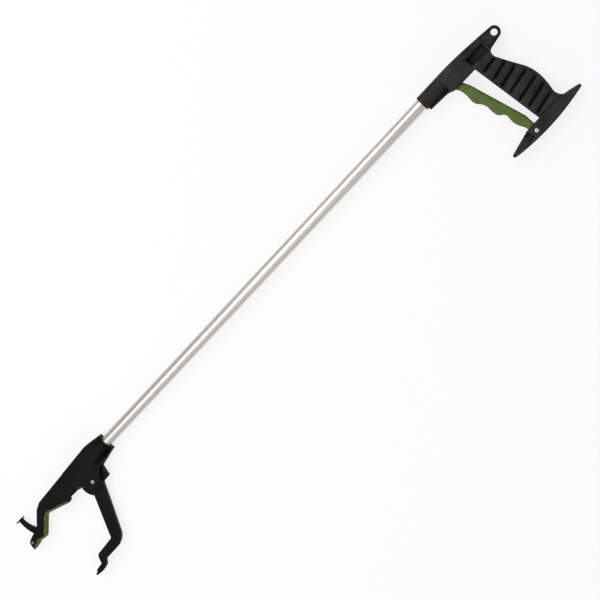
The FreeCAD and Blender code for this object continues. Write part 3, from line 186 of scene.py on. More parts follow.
# Middle lines of the grip's grooves, from the front end to the palm end
GROOVES = [
    ((-76.6, 27.8), (-95.6, 25.5)), ((-77.4, 42.2), (-101, 37.1)), ((-78.2, 54.6), (-106, 48.3)),
    ((-80.4, 66.4), (-111, 60.7)), ((-82, 80.2), (-113, 74.1)), ((-83.6, 93.4), (-112.6, 87)),
    ((-85.2, 105.2), (-111.2, 99.7)),
]
PAD_ABOVE = 14  # height of the pad before the first groove
PAD_BELOW = 12  # and of the pad after the last one

TONGUE_AREA = [(-62, -4), (-30, -4), (-30, TONGUE_END), (-62, TONGUE_END)]

HEAD_OUTLINE = [
    (0, -12.1), (25, -16.3), (74.4, -13.2), (130, -9.9), (140.8, -5.2), (158.6, 10.4), (180.3, 16.5),
    (183.3, 18.7), (185.3, 26.6), (176.2, 25.1), (171.6, 22), (166.8, 24.2), (160.4, 25.2),
    (138.1, 6.9), (130.9, 5.6), (98.9, 16.4), (98.2, 19.4), (96.6, 18.6), (95.4, 16.2),
    (76.6, 16.7), (71.5, 19), (62.7, 23.7),
    (59.07, 32.47, 50.3, 36.1), (41.53, 32.47), (30.6, 18.4), (0, 12.8),
]
CHEEKS = [
    (-2, -12.3), (25, -16.5), (74.4, -14.2), (78.6, 10.4), (62.9, 23.7), (59.2, 32.6, 50.3, 36.3),
    (41.4, 32.6), (30.6, 18.6), (-2, 13.2),
]
HEAD_CORE = [(-2, 7.8), (29, 8.2), (26.5, 12.6), (-2, 9.8)]
HEAD_CAVITY = [
    (18, -8.6), (70.1, -8.6), (73.1, -5.6), (73.1, 46.5), (20.4, 46.5), (20.4, 18.4), (26.4, 11.6),
    (23.4, 8.6), (18, 8.6),
]
HORN = [(167.0, -11.9), (166.8, -2, 159.6, 13.4), (169.5, 13.4), (172, -1, 171.4, -11.9)]
HORN_BAR = [(165.1, -13.2), (175.3, -13.2), (175.3, -11.4), (165.1, -11.4)]
LINER_SEAT = [
    (98.9, 16.4), (130.9, 5.6), (138.1, 6.9), (160.4, 25.2), (166.8, 24.2), (171.6, 22), (176.2, 25.1),
    (185.3, 26.6),
]


def half_round(centre, radius):
    """Half a circle around a pin, as two items of an outline: from x + radius over y + radius to
    x - radius. A negative radius gives the other half."""
    x, y = centre
    return [(x + radius, y), (x, y + radius, x - radius, y)]


# The finger side falls in steep steps between long flat hollows.
TRIGGER_OUTLINE = [
    (-38.6, 13), (-38.4, 17.1), (-41.2, 21.6, -42.7, 28), (-42.9, 34, -42.3, 39.6),
    (-43, 45, -46.4, 50.4), (-49, 55.2, -50, 61.6), (-49.9, 67, -50.4, 71.2), (-51.8, 75, -55.2, 78),
    (-57.6, 81.4, -58, 86), (-57.5, 91, -58.1, 96.4), (-59.8, 101.6, -62, 105.6),
    (-63.2, 109, -63.6, 112.6), (-63.8, 114.4), *half_round(TRIGGER_PIVOT, PIVOT_EYE),
    (-73.3, 105), (-73.3, 99), (-56.4, 34), (-54.2, 26, -50.2, 17.4), (-49.4, 13),
    (TRIGGER_LINK[0] - LINK_EYE, 7.5), *half_round(TRIGGER_LINK, -LINK_EYE),
]


def hub_point(degrees):
    """Point of the hub's circle at that angle, from the head's mouth."""
    angle = math.radians(degrees)
    return RIVET[0] + HUB_RADIUS * math.cos(angle), RIVET[1] + HUB_RADIUS * math.sin(angle)


JAW_OUTLINE = [
    hub_point(-12), hub_point(14) + hub_point(40), (92.8, 88.6), (93.8, 91.2, 97.8, 92.8),
    (124.6, 95.1), (127.6, 98.1), (131.6, 107.1), (143.4, 108.6), (144.3, 111.0), (146.2, 110.9),
    (150.0, 113.4), (140.7, 115.5, 128.2, 113.2), (123.2, 107.6), (96.4, 107), (86.3, 103, 80.1, 97),
    (58.3, 58.6), (44.7, 33.9), (34.6, 33.4), (32.4, 32.6, 31.8, 30.6), (29.1, 20.6),
    (29.2, 19, 31, 18.4), (42.3, 15.7), (51.733, 7.278), (54.59, -0.684),
    (59.965, -3.22, 62.5, 2.155), (63.3, 13.7),
]

# How fine the surfaces are
GRID = 1.5  # mm between the points on a moulding's sides
ARC_TURN = 0.25  # radians between the points of an arc, at most
RING_ANGLES = (28, 50, 70, 90)  # degrees round an edge at which its rings of points lie
RING_GAP = 0.05  # mm by which a point of a ring may be off its distance
MARK_GAP = 0.3  # mm that the rings of a mark keep from the outline
SHARPEST = 0.6  # limit of the mitre at a sharp corner
THINNEST = 0.02  # mm, least height of a surface over its outline
CREASE = 33  # degrees between two faces from which their edge stays sharp
BATCH = 3000  # points that are measured against an outline at once

# Finish of the moulded pieces, and the shade painted into their corners
DRIFT_MM = 18  # the colour drifts over this length
PATCH_MM = 6  # the roughness changes over this length
PAINTED_SHADE_POWER = 1.6  # how strongly the painted shade darkens the colour of corners and hollows
# rays per point that find the corners for the painted shade
PAINTED_SHADE_RAYS = 8

# Studio, in metres. Each light has its place, its width and its share of the main light's power.
LIGHTS = {
    "main_light": ((-0.25, -1.5, 1.9), 1.6, 1.0),
    "top_light": ((0.75, -0.2, 1.9), 1.1, 0.5),
    "fill_light": ((0.5, 1.7, 1.5), 1.8, 0.3),
}
SKY_STRENGTH = 0.4
FLOOR_GLOW = 0.8  # share of the floor that shows plain white
FLOOR_GAP = 0.0002  # between the floor and the part
LENS_MM, SENSOR_MM = 69.42, 36
CAMERA_LEAN = 13.8504  # degrees from straight above, towards the handle's end
CAMERA_RIGHT = (-0.69010, 0.72372)  # right of the picture, along the leaned X and along Y
CAMERA_AIM = (-0.043, 0.0003, 0.0115)
CAMERA_DISTANCE = 1.44553
CAMERA_FAR = 20


def srgb(code):
    """Linear colour of an sRGB hex value: each channel's curve of the standard, undone."""
    channels = [int(code[place : place + 2], 16) / 255 for place in (0, 2, 4)]
    linear = [c / 12.92 if c <= 0.04045 else ((c + 0.055) / 1.055) ** 2.4 for c in channels]
    return (*linear, 1.0)


# Shapes


def traced(path, step=1.2):
    """Points about step apart along a closed outline: a + t (b - a) on a straight edge, and centre plus
    radius times (cos, sin) of evenly spaced angles on an arc."""
    spots = [np.array([path[0][-2:]], float)]
    for item in list(path[1:]) + [path[0][-2:]]:
        here, there = spots[-1][-1], np.array(item[-2:], float)
        if len(item) == 2:
            count = max(1, round(np.linalg.norm(there - here) / step))
            share = np.arange(1, count + 1)[:, None] / count
            spots.append(here + share * (there - here))
            continue
        middle = np.array(item[:2], float)
        rows = 2 * np.array([middle - here, there - here])
        centre = np.linalg.solve(rows, [middle @ middle - here @ here, there @ there - here @ here])
        angles = [math.atan2(*(spot - centre)[::-1]) for spot in (here, middle, there)]
        turn = (angles[2] - angles[0]) % (2 * math.pi)
        if (angles[1] - angles[0]) % (2 * math.pi) > turn:
            turn -= 2 * math.pi
        radius = np.linalg.norm(here - centre)
        count = max(3, math.ceil(abs(turn) * radius / step), math.ceil(abs(turn) / ARC_TURN))
        angle = angles[0] + turn * np.arange(1, count + 1) / count
        spots.append(centre + radius * np.stack([np.cos(angle), np.sin(angle)], 1))
    loop = np.concatenate(spots)[:-1]
    following = np.roll(loop, -1, axis=0)
    area = (loop[:, 0] * following[:, 1] - loop[:, 1] * following[:, 0]).sum()
    return loop if area > 0 else loop[::-1]


def within(spots, loop):
    """Distance from each spot to the nearest edge of a closed loop, positive inside it: the foot of the
    perpendicular is held between the edge's ends, and a ray along X that crosses an odd number is inside."""
    start, edge = loop, np.roll(loop, -1, axis=0) - loop
    slope = np.where(edge[:, 1] == 0, 1e-12, edge[:, 1])
    found = []
    for part in np.array_split(spots, max(1, len(spots) // BATCH)):
        gap = part[:, None, :] - start
        share = np.clip((gap * edge).sum(2) / (edge**2).sum(1), 0, 1)
        near = np.sqrt(((gap - share[..., None] * edge) ** 2).sum(2).min(1))
        rise = gap[..., 1]
        spans = (rise < 0) != (rise < edge[:, 1])
        crossed = spans & (gap[..., 0] < rise / slope * edge[:, 0])
        found.append(np.where(crossed.sum(1) % 2 == 1, near, -near))
    return np.concatenate(found)


def beside(loop, distance):
    """The loop moved inwards by distance with mitred corners, without the points that then lie nearer to
    another edge."""
    edge = np.roll(loop, -1, axis=0) - loop
    normal = np.stack([-edge[:, 1], edge[:, 0]], 1) / np.linalg.norm(edge, axis=1)[:, None]
    both = normal + np.roll(normal, 1, axis=0)
    mitre = 2 * both / np.maximum((both**2).sum(1), SHARPEST)[:, None]
    moved = loop + mitre * distance
    return moved[np.abs(within(moved, loop)) > abs(distance) - RING_GAP]


def smooth(share):
    """0 to 1 without a kink: 3 t t - 2 t t t of the share held between 0 and 1."""
    share = np.clip(share, 0, 1)
    return share * share * (3 - 2 * share)


def rise(value, start, width):
    """0 before the start and 1 from start + width on. A negative width turns it round."""
    return smooth((value - start) / width)


def raised(height, spots, loop, level, width):
    """Height that goes over to level inside the loop, on a slope that is width wide and centred on it."""
    share = smooth(within(spots, loop) / width + 0.5)
    return height + (level - height) * share


def round_edge(depth, radius):
    """How far a rounded edge lies below the face at that depth inside the outline: a quarter circle."""
    left = np.clip(radius - depth, 0, radius)
    return radius - np.sqrt(np.maximum(radius**2 - left**2, 0))


def slab(path, height, edge_radius, marks=(), pitch=1.6):
    """Closed surface over an outline, with corners in mm and triangles. Its sides are z = height and
    z = -height, where height is a function of all points and of their depth inside the outline, and a wall
    joins them along the outline. The points are the outline, rings beside it and beside each mark, which
    is a loop and the width of its slope, and a square grid between them."""
    loop = traced(path)
    rings = [beside(loop, edge_radius * (1 - math.cos(angle))) for angle in np.radians(RING_ANGLES)]
    lines = []
    for mark, width in marks:
        for side in (-0.5, 0.5):
            line = beside(mark, side * width)
            lines.append(line[within(line, loop) > MARK_GAP])
    low, high = loop.min(0), loop.max(0)
    grid = np.stack(np.meshgrid(*[np.arange(a, b, pitch) for a, b in zip(low, high)]), -1).reshape(-1, 2)
    grid = grid[within(grid, loop) > edge_radius + pitch / 3]
    for mark, width in marks:
        grid = grid[np.abs(within(grid, mark)) > width / 2 + pitch / 3]
    spots = np.concatenate([loop, *rings, *lines, grid])
    edges = np.stack([np.arange(len(loop)), np.roll(np.arange(len(loop)), -1)], 1)
    made = delaunay_2d_cdt([Vector(spot) for spot in spots], edges.tolist(), [], 0, 1e-5, False)
    flat = np.array([tuple(spot) for spot in made[0]])
    faces = np.array(made[2])
    faces = faces[within(flat[faces].mean(1), loop) > 0]
    used, faces = np.unique(faces, return_inverse=True)
    flat, faces = flat[used], faces.reshape(-1, 3)
    level = np.maximum(height(flat, np.maximum(within(flat, loop), 0)), THINNEST)
    top = np.column_stack([flat, level])
    sides = np.concatenate([faces[:, [0, 1]], faces[:, [1, 2]], faces[:, [2, 0]]])
    codes = np.sort(sides, 1) @ [len(flat), 1]
    _, first, count = np.unique(codes, return_index=True, return_counts=True)
    rim = sides[first[count == 1]]
    under = rim + len(flat)
    wall = np.column_stack([rim[:, 0], under[:, 0], under[:, 1], rim[:, 1]])
    corners = np.concatenate([top, top * [1, 1, -1]])
    return corners, faces.tolist() + (faces[:, ::-1] + len(flat)).tolist() + wall.tolist()


def lathe(profile, count=48):
    """Closed surface from a profile of (place, radius) pairs that starts and ends on the axis Z:
    (r cos a, r sin a, place) for evenly spaced angles a."""
    profile = np.array(profile, float)
    inner = profile[1:-1]
    angle = np.arange(count) * 2 * math.pi / count
    x = inner[:, 1, None] * np.cos(angle)
    y = inner[:, 1, None] * np.sin(angle)
    z = np.broadcast_to(inner[:, 0, None], x.shape)
    rings = np.stack([x, y, z], -1).reshape(-1, 3)
    corners = np.concatenate([rings, [[0, 0, profile[0, 0]], [0, 0, profile[-1, 0]]]])
    here = np.arange(count)
    after = (here + 1) % count
    rows = (np.arange(len(inner) - 1) * count)[:, None]
    quads = np.stack([rows + here, rows + after, rows + count + after, rows + count + here], -1)
    last = (len(inner) - 1) * count
    start = np.column_stack([np.full(count, len(rings)), after, here])
    end = np.column_stack([np.full(count, len(rings) + 1), last + here, last + after])
    return corners, quads.reshape(-1, 4).tolist() + start.tolist() + end.tolist()


def round_solid(place, radius, low=-THROUGH, high=THROUGH):
    """Round surface along Z, as a cutter for a hole or as a boss."""
    corners, faces = lathe([(low, 0), (low, radius), (high, radius), (high, 0)])
    return corners + [*place, 0], faces


def seat(place, radius, bottom):
    """Cutter for a round seat in the side that faces the floor."""
    return round_solid(place, radius, high=-bottom)


def tube_hole(start, end):
    """Cutter for the tube along its axis: the lathe's Z becomes X."""
    radius = TUBE_RADIUS + TUBE_PLAY
    corners, faces = lathe([(start, 0), (start, radius), (end, radius), (end, 0)], 64)
    return corners[:, [2, 0, 1]], faces


def block(low, high):
    """Square cutter between two corners."""
    corners = np.array([[(low, high)[(n >> axis) & 1][axis] for axis in range(3)] for n in range(8)], float)
    faces = [[0, 2, 3, 1], [4, 5, 7, 6], [0, 1, 5, 4], [2, 6, 7, 3], [0, 4, 6, 2], [1, 3, 7, 5]]
    return corners, faces


def placed(name, surface, zero):
    """Object at the origin whose mesh is the surface, moved to its zero point and turned to metres."""
    corners, faces = surface
    mesh = bpy.data.meshes.new(name)
    mesh.from_pydata(((corners + zero) * MM).tolist(), [], faces)
    mesh.update()
    made = bpy.data.objects.new(name, mesh)
    bpy.context.scene.collection.objects.link(made)
    return made


def joined(piece, surfaces, zero, operation):
    """Adds closed surfaces to a piece, or cuts them out of it, and keeps the result as its mesh."""
    others = [placed("part", surface, zero) for surface in surfaces]
    for other in others:
        step = piece.modifiers.new("Join", "BOOLEAN")
        step.operation = operation
        step.solver = "MANIFOLD"
        step.object = other
    graph = bpy.context.evaluated_depsgraph_get()
    mesh = bpy.data.meshes.new_from_object(piece.evaluated_get(graph))
    piece.modifiers.clear()
    piece.data = mesh
    mesh.name = piece.name
    for other in others:
        bpy.data.objects.remove(other)


def finished(piece, material, body, cad_node):
    """Smooth shading with sharp edges, the finish, and the place of the piece on its body."""
    mesh = piece.data
    mesh.materials.clear()
    mesh.materials.append(material)
    mesh.shade_smooth()
    mesh.set_sharp_from_angle(angle=math.radians(CREASE))
    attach(piece, body)
    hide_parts(cad_node)


# Finishes


def node(tree, kind, values=(), **links):
    """Adds a node with settings and input values, and links its inputs to the sockets that are named."""
    made = tree.nodes.new(kind)
    for name, value in dict(values).items():
        if name in made.inputs:
            made.inputs[name].default_value = value
        else:
            setattr(made, name, value)
    for name, socket in links.items():
        tree.links.new(socket, made.inputs[name.replace("_", " ")])
    return made


def surface_tree(name, **values):
    """Material with one Principled BSDF whose own sockets hold the given values."""
    material = bpy.data.materials.new(name)
    material.use_nodes = True
    tree = material.node_tree
    tree.nodes.clear()
    shader = node(tree, "ShaderNodeBsdfPrincipled", {k.replace("_", " "): v for k, v in values.items()})
    node(tree, "ShaderNodeOutputMaterial", Surface=shader.outputs[0])
    place = node(tree, "ShaderNodeTexCoord").outputs["Object"]
    return material, tree, shader, place


def ramp(tree, source, stops):
    """Colour ramp over a source, with a position and a colour per stop."""
    made = node(tree, "ShaderNodeValToRGB", Fac=source)
    elements = made.color_ramp.elements
    while len(elements) < len(stops):
        elements.new(0.5)
    for element, (position, colour) in zip(elements, stops):
        element.position = position
        element.color = colour
    return made.outputs["Color"]


def grained(name, dark, light, rough, grain_mm, grain_depth_mm, painted_shade_mm=18, **values):
    """Moulded surface: the colour drifts slowly, the roughness changes over a few mm, and a fine grain of
    grain_mm, drawn about twice as coarse as the real one so that it shows, makes it dull. Shade is painted
    into the colour: corners and hollows, found by rays of the given reach in mm, are darker, because little
    light gets out of them."""
    material, tree, shader, place = surface_tree(name, **values)
    drift = node(tree, "ShaderNodeTexNoise",
                 {"Scale": 1 / (DRIFT_MM * MM), "Detail": 6.0, "Roughness": 0.65}, Vector=place)
    colour = ramp(tree, drift.outputs["Fac"], [(0.35, srgb(dark)), (0.65, srgb(light))])
    # Painted shade: the base colour is darkened where few rays get out, in corners and hollows.
    open_share = node(tree, "ShaderNodeAmbientOcclusion",
                      {"Distance": painted_shade_mm * MM, "samples": PAINTED_SHADE_RAYS})
    shade = node(tree, "ShaderNodeMath", {"operation": "POWER"})
    tree.links.new(open_share.outputs["AO"], shade.inputs[0])
    shade.inputs[1].default_value = PAINTED_SHADE_POWER
    shaded = node(tree, "ShaderNodeVectorMath", {"operation": "SCALE"}, Scale=shade.outputs[0])
    tree.links.new(colour, shaded.inputs[0])
    tree.links.new(shaded.outputs[0], shader.inputs["Base Color"])
    patch = node(tree, "ShaderNodeTexNoise", {"Scale": 1 / (PATCH_MM * MM), "Detail": 4.0}, Vector=place)
    low, high = rough
    span = node(tree, "ShaderNodeMapRange", {"To Min": low, "To Max": high}, Value=patch.outputs["Fac"])
    tree.links.new(span.outputs["Result"], shader.inputs["Roughness"])
    grain = node(tree, "ShaderNodeTexNoise", {"Scale": 1 / (grain_mm * MM), "Detail": 2.0}, Vector=place)
    bump = node(tree, "ShaderNodeBump", {"Strength": 1.0, "Distance": grain_depth_mm * MM},
                Height=grain.outputs["Fac"])
    tree.links.new(bump.outputs["Normal"], shader.inputs["Normal"])
    return material


def black_abs():
    """ABS, moulded in a spark-eroded tool: near-black, with a fine dull grain and a soft grey sheen."""
    return grained("abs_moulded_spark_grain", "20201E", "31302C", (0.42, 0.56), 0.9, 0.05,
                   Specular_IOR_Level=0.14)


def jaw_abs():
    """ABS, moulded in a smoother tool than the handle's: darker and a little glossier."""
    return grained("abs_moulded_fine_grain", "070706", "11110F", (0.4, 0.52), 0.7, 0.03,
                   Specular_IOR_Level=0.08)


def trigger_green():
    """Polypropylene, moulded: olive green, satin, slightly waxy."""
    return grained("polypropylene_moulded_satin", "4D6027", "586B31", (0.42, 0.52), 0.8, 0.02,
                   # painted shade in the corners reaches 3 mm
                   painted_shade_mm=3, Subsurface_Weight=0.05, Subsurface_Scale=0.001,
                   Specular_IOR_Level=0.3)


def liner_green():
    """Thermoplastic rubber, moulded: the trigger's green, duller and a little darker."""
    # painted shade in the corners reaches 2 mm
    return grained("rubber_moulded_dull", "3E5020", "4A5D29", (0.6, 0.75), 0.6, 0.02, painted_shade_mm=2,
                   Specular_IOR_Level=0.25)


def drawn_metal(name, dark, light, rough, line_mm, stretch, line_depth_mm=0.01):
    """Metal with lines from drawing or turning: noise that is stretched along X drives colour and
    roughness, and a faint bump where the lines have a depth."""
    material, tree, shader, place = surface_tree(name, Metallic=1.0)
    scale = [1 / (line_mm * MM)] * 3
    scale[0] /= stretch
    lined = node(tree, "ShaderNodeMapping", {"Scale": scale}, Vector=place)
    lines = node(tree, "ShaderNodeTexNoise", {"Scale": 1.0, "Detail": 3.0}, Vector=lined.outputs[0])
    colour = ramp(tree, lines.outputs["Fac"], [(0.3, srgb(dark)), (0.7, srgb(light))])
    tree.links.new(colour, shader.inputs["Base Color"])
    low, high = rough
    span = node(tree, "ShaderNodeMapRange", {"To Min": low, "To Max": high}, Value=lines.outputs["Fac"])
    tree.links.new(span.outputs["Result"], shader.inputs["Roughness"])
    if line_depth_mm:
        bump = node(tree, "ShaderNodeBump", {"Strength": 0.5, "Distance": line_depth_mm * MM},
                    Height=lines.outputs["Fac"])
        tree.links.new(bump.outputs["Normal"], shader.inputs["Normal"])
    return material


def tube_metal():
    """Aluminium, drawn and satin anodised: warm pale grey with faint smooth lines along the tube."""
    return drawn_metal("aluminium_drawn_anodised", "CBC4BD", "D3CCC6", (0.36, 0.39), 3.0, 80,
                       line_depth_mm=0)


def bright_metal():
    """Steel, turned and bright: the ends of the trigger's pin."""
    return drawn_metal("steel_turned_bright", "D9D7D3", "F2F0EC", (0.3, 0.36), 1.2, 1)


def rivet_metal():
    """Steel, pressed and dull: the jaw's rivet."""
    return drawn_metal("steel_pressed_dull", "77777A", "8E8E91", (0.34, 0.44), 1.0, 1)


def zinc_metal():
    """Steel, zinc plated: cool grey, cloudy from the plating bath."""
    return drawn_metal("steel_zinc_plated", "9FA3A6", "BDC1C3", (0.28, 0.42), 1.2, 3)


def spring_metal():
    """Spring steel, wound and oiled: dark grey with a slight shine."""
    return drawn_metal("spring_steel_oiled", "55565A", "74757A", (0.3, 0.42), 0.5, 8)


def magnet_metal():
    """Nickel plating on a magnet, worn: dull grey and slightly yellow."""
    return drawn_metal("magnet_nickel_plated", "5E5C58", "7B7974", (0.26, 0.34), 0.8, 1)


def nylon():
    """Nylon, moulded in its natural colour: ivory, waxy, slightly see-through at the edges."""
    return grained("nylon_moulded_natural", "D8D2C2", "E6E1D2", (0.35, 0.45), 0.8, 0.01,
                   Subsurface_Weight=0.15, Subsurface_Scale=0.002)


# Sizes that a user may change


def length(name, text, millimetres):
    """Length property whose default is given in millimetres."""
    return FloatProperty(name=name, description=text, default=millimetres * MM, unit="LENGTH")


class HandleSizes(bpy.types.PropertyGroup):
    edge: length("Edge", "Rounding of the handle's edges", 2.6)
    groove_depth: length("Groove depth", "Depth of the grooves between the grip's pads", 1.9)
    groove_width: length("Groove width", "Width of those grooves", 2.4)
    pad_crown: length("Pad crown", "How far a pad rises to its middle", 1.5)
    palm_round: length("Palm round", "How much more the palm side's edge falls off", 1.6)
    web: length("Pocket web", "Half the web in the middle of the cored pocket", 1.5)
    ear_web: length("Ear web", "Half the thickness of the web around the hanging hole", 5.3)


class TriggerSizes(bpy.types.PropertyGroup):
    edge: length("Edge", "Rounding of the trigger's edges", 3.2)


class JawSizes(bpy.types.PropertyGroup):
    head_edge: length("Head edge", "Rounding of the head's edges", 2.0)
    jaw_edge: length("Jaw edge", "Rounding of the moving jaw's edges", 1.5)
    liner: length("Liner", "Thickness of the rubber liner", 3.3)


class StudioSizes(bpy.types.PropertyGroup):
    floor: length("Floor", "Half the width of the floor", 6000)
    light: FloatProperty(name="Light", description="Power of the main light", default=24.0, unit="POWER")
    backdrop: FloatVectorProperty(name="Backdrop", description="Colour of the floor", size=3,
                                  subtype="COLOR", default=(0.93, 0.93, 0.93))


# Pieces


def groove_bars(width):
    """Loops of the grip's grooves: bars along their middle lines, that wide, with a pointed palm end."""
    bars = []
    for front, back in GROOVES:
        front, back = np.array(front), np.array(back)
        along = (back - front) / np.linalg.norm(back - front)
        side = np.array([-along[1], along[0]]) * width / 2
        corners = [front - side, back - side, back + along * width / 2, back + side, front + side]
        bars.append(traced([tuple(corner) for corner in corners]))
    return bars


def along_grip(spots):
    """Place down the grip, counted in pads: it grows by one from each groove's middle line to the next."""
    x, y = spots.T
    drops = [a[1] + (x - a[0]) * (b[1] - a[1]) / (b[0] - a[0]) for a, b in GROOVES]
    drops = [drops[0] - PAD_ABOVE, *drops, drops[-1] + PAD_BELOW]
    place = np.zeros(len(spots))
    for low, high in zip(drops, drops[1:]):
        place += np.clip((y - low) / (high - low), 0, 1)
    return place


def handle_surface(sizes):
    """Handle whose height is: flat sides of the box, grip and end plate, sqrt(r r - y y) over the barrel, a
    taper down to the ear, pads between the grooves that fall off with the cube of the distance from their
    middle, and the pocket, webs and panels sunk in."""
    ear, pocket, web, bevel = (traced(path) for path in (EAR_AREA, POCKET, EAR_WEB, POCKET_BEVEL))
    line, panel, nose = traced(PLATE_LINE, 2), traced(PLATE_PANEL, 2), traced(PLATE_NOSE)
    groove_width = sizes.groove_width / MM
    bars = groove_bars(groove_width)

    def height(spots, depth):
        x, y = spots.T
        level = np.full(len(spots), BODY_HALF)
        grip = rise(y, *PADS_TOP) * rise(y, *PADS_END)
        level -= sizes.pad_crown / MM * grip * np.abs(2 * (along_grip(spots) % 1) - 1) ** 3
        palm = rise(x, *PALM_SIDE) * grip
        level -= sizes.palm_round / MM * palm * rise(depth, PALM_REACH, -PALM_REACH)
        level = raised(level, spots, ear, BODY_HALF - EAR_FALL * rise(x, *EAR_TAPER), EAR_SLOPE)
        level = raised(level, spots, bevel, level - BEVEL_DEPTH, BEVEL_SLOPE)
        level = raised(level, spots, pocket, sizes.web / MM, POCKET_SLOPE)
        level = raised(level, spots, web, sizes.ear_web / MM, WEB_SLOPE)
        for bar in bars:
            level = raised(level, spots, bar, level - sizes.groove_depth / MM, groove_width)
        level = raised(level, spots, line, level - LINE_DEPTH, LINE_SLOPE)
        level = raised(level, spots, panel, level - PANEL_DEPTH, PANEL_SLOPE)
        tip = level - NOSE_DEPTH - NOSE_FALL * rise(x, *NOSE_TAPER)
        level = raised(level, spots, nose, tip, NOSE_SLOPE)
        level -= round_edge(depth, sizes.edge / MM)
        barrel = np.sqrt(np.maximum(BARREL_RADIUS**2 - y**2, 0))
        keel = KEEL_HALF + KEEL_FOOT * rise(y, *KEEL_WIDENS) - round_edge(depth, KEEL_EDGE)
        front = np.maximum(barrel, np.where((y > 0) & (x < KEEL_FRONT), keel, 0))
        share = rise(x, *BARREL_STARTS)
        share = share + (rise(x, *BARREL_BLENDS) - share) * rise(y, *UPPER_SIDE)
        return level + (front - level) * share

    marks = [(pocket, POCKET_SLOPE), (web, WEB_SLOPE), (bevel, BEVEL_SLOPE), (line, LINE_SLOPE),
             (panel, PANEL_SLOPE), (nose, NOSE_SLOPE)]
    marks += [(bar, groove_width) for bar in bars]
    return slab(HANDLE_OUTLINE, height, sizes.edge / MM, marks, GRID)


class REACHER_OT_handle(bpy.types.Operator):
    """Black handle: barrel and keel, trigger box, hanging ear, ribbed grip and boat-shaped end plate"""

    bl_idname = "reacher.handle"
    bl_label = "Handle"

    def execute(self, context):
        piece = placed("handle_shell", handle_surface(context.scene.reacher_handle), HANDLE_ZERO)
        cuts = [
            tube_hole(BOX_FRONT - 2, 1),
            block(*FORK_CHAMBER), block(*FORK_PASSAGE), block(*PLATE_SLOT),
            round_solid(EAR, EAR_HOLE), round_solid(TRIGGER_PIVOT, PIN_HOLE),
            seat(TRIGGER_PIVOT, *CLIP_SEAT), seat(HANDLE_SCREW, *SCREW_HOLE),
            seat(HANDLE_SCREW, *SCREW_SEAT),
        ]
        joined(piece, cuts, HANDLE_ZERO, "DIFFERENCE")
        finished(piece, black_abs(), "frame", "handle")
        return {"FINISHED"}


class REACHER_OT_trigger(bpy.types.Operator):
    """Green trigger with finger hollows, on its pin in the end plate"""

    bl_idname = "reacher.trigger"
    bl_label = "Trigger"

    def execute(self, context):
        edge = context.scene.reacher_trigger.edge / MM

        def height(spots, depth):
            return np.where(spots[:, 1] < TONGUE_END, TONGUE_HALF, TRIGGER_HALF - round_edge(depth, edge))

        marks = [(traced(TONGUE_AREA), TONGUE_SLOPE)]
        piece = placed("trigger_shell", slab(TRIGGER_OUTLINE, height, edge, marks, GRID), HANDLE_ZERO)
        holes = [round_solid(TRIGGER_PIVOT, TRIGGER_HOLE), round_solid(TRIGGER_LINK, CROSS_PIN_HOLE)]
        joined(piece, holes, HANDLE_ZERO, "DIFFERENCE")
        finished(piece, trigger_green(), "trigger_lever", "trigger")
        return {"FINISHED"}


class REACHER_OT_jaw_head(bpy.types.Operator):
    """Black jaw head: tube socket, two cheeks around the moving jaw, fixed jaw and its horn"""

    bl_idname = "reacher.jaw_head"
    bl_label = "Jaw head"

    def execute(self, context):
        edge = context.scene.reacher_jaws.head_edge / MM
        cheeks, core = traced(CHEEKS), traced(HEAD_CORE)

        def height(spots, depth):
            x, y = spots.T
            level = raised(np.full(len(spots), JAW_HALF), spots, cheeks, BODY_HALF, CHEEK_SLOPE)
            around = np.maximum(np.sqrt(np.maximum(SOCKET_RADIUS**2 - y**2, 0)), MOUTH_HALF)
            level += rise(x, *SOCKET_ROUNDS) * (around - level) * (level > JAW_HALF + 1)
            level = raised(level, spots, core, level - CORE_DEPTH, CORE_SLOPE)
            return level - round_edge(depth, np.where(level > JAW_HALF + 1, edge, FIXED_JAW_EDGE))

        marks = [(cheeks, CHEEK_SLOPE), (core, CORE_SLOPE)]
        piece = placed("jaw_head_shell", slab(HEAD_OUTLINE, height, edge, marks, GRID), HEAD_ZERO)
        horn = slab(HORN, lambda spots, depth: HORN_HALF - round_edge(depth, HORN_EDGE), HORN_EDGE)
        bar = slab(HORN_BAR, lambda spots, depth: HORN_BAR_HALF - round_edge(depth, HORN_BAR_EDGE),
                   HORN_BAR_EDGE)
        joined(piece, [horn, bar], HEAD_ZERO, "UNION")
        cavity = slab(HEAD_CAVITY, lambda spots, depth: np.full(len(spots), CAVITY_HALF), CAVITY_EDGE)
        cuts = [
            tube_hole(-1, SOCKET_DEPTH), cavity,
            round_solid(RIVET, RIVET_HOLE), seat(RIVET, *WASHER_SEAT), round_solid(MAGNET, MAGNET_HOLE),
            seat(HEAD_SCREW, *SCREW_HOLE), seat(HEAD_SCREW, *SCREW_SEAT),
        ]
        joined(piece, cuts, HEAD_ZERO, "DIFFERENCE")
        finished(piece, jaw_abs(), "frame", "jaw_head")
        return {"FINISHED"}


class REACHER_OT_moving_jaw(bpy.types.Operator):
    """Black moving jaw: hub, heel, arm, fore-arm and claw"""

    bl_idname = "reacher.moving_jaw"
    bl_label = "Moving jaw"

    def execute(self, context):
        edge = context.scene.reacher_jaws.jaw_edge / MM

        def height(spots, depth):
            return JAW_HALF - round_edge(depth, edge)

        piece = placed("moving_jaw_shell", slab(JAW_OUTLINE, height, edge, pitch=GRID), HEAD_ZERO)
        joined(piece, [round_solid(RIVET, BOSS_RADIUS, -BOSS_HALF, BOSS_HALF)], HEAD_ZERO, "UNION")
        holes = [round_solid(RIVET, BUSH_HOLE), round_solid(CRANK_PIN, CROSS_PIN_HOLE)]
        joined(piece, holes, HEAD_ZERO, "DIFFERENCE")
        finished(piece, jaw_abs(), "jaw_lever", "moving_jaw")
        return {"FINISHED"}


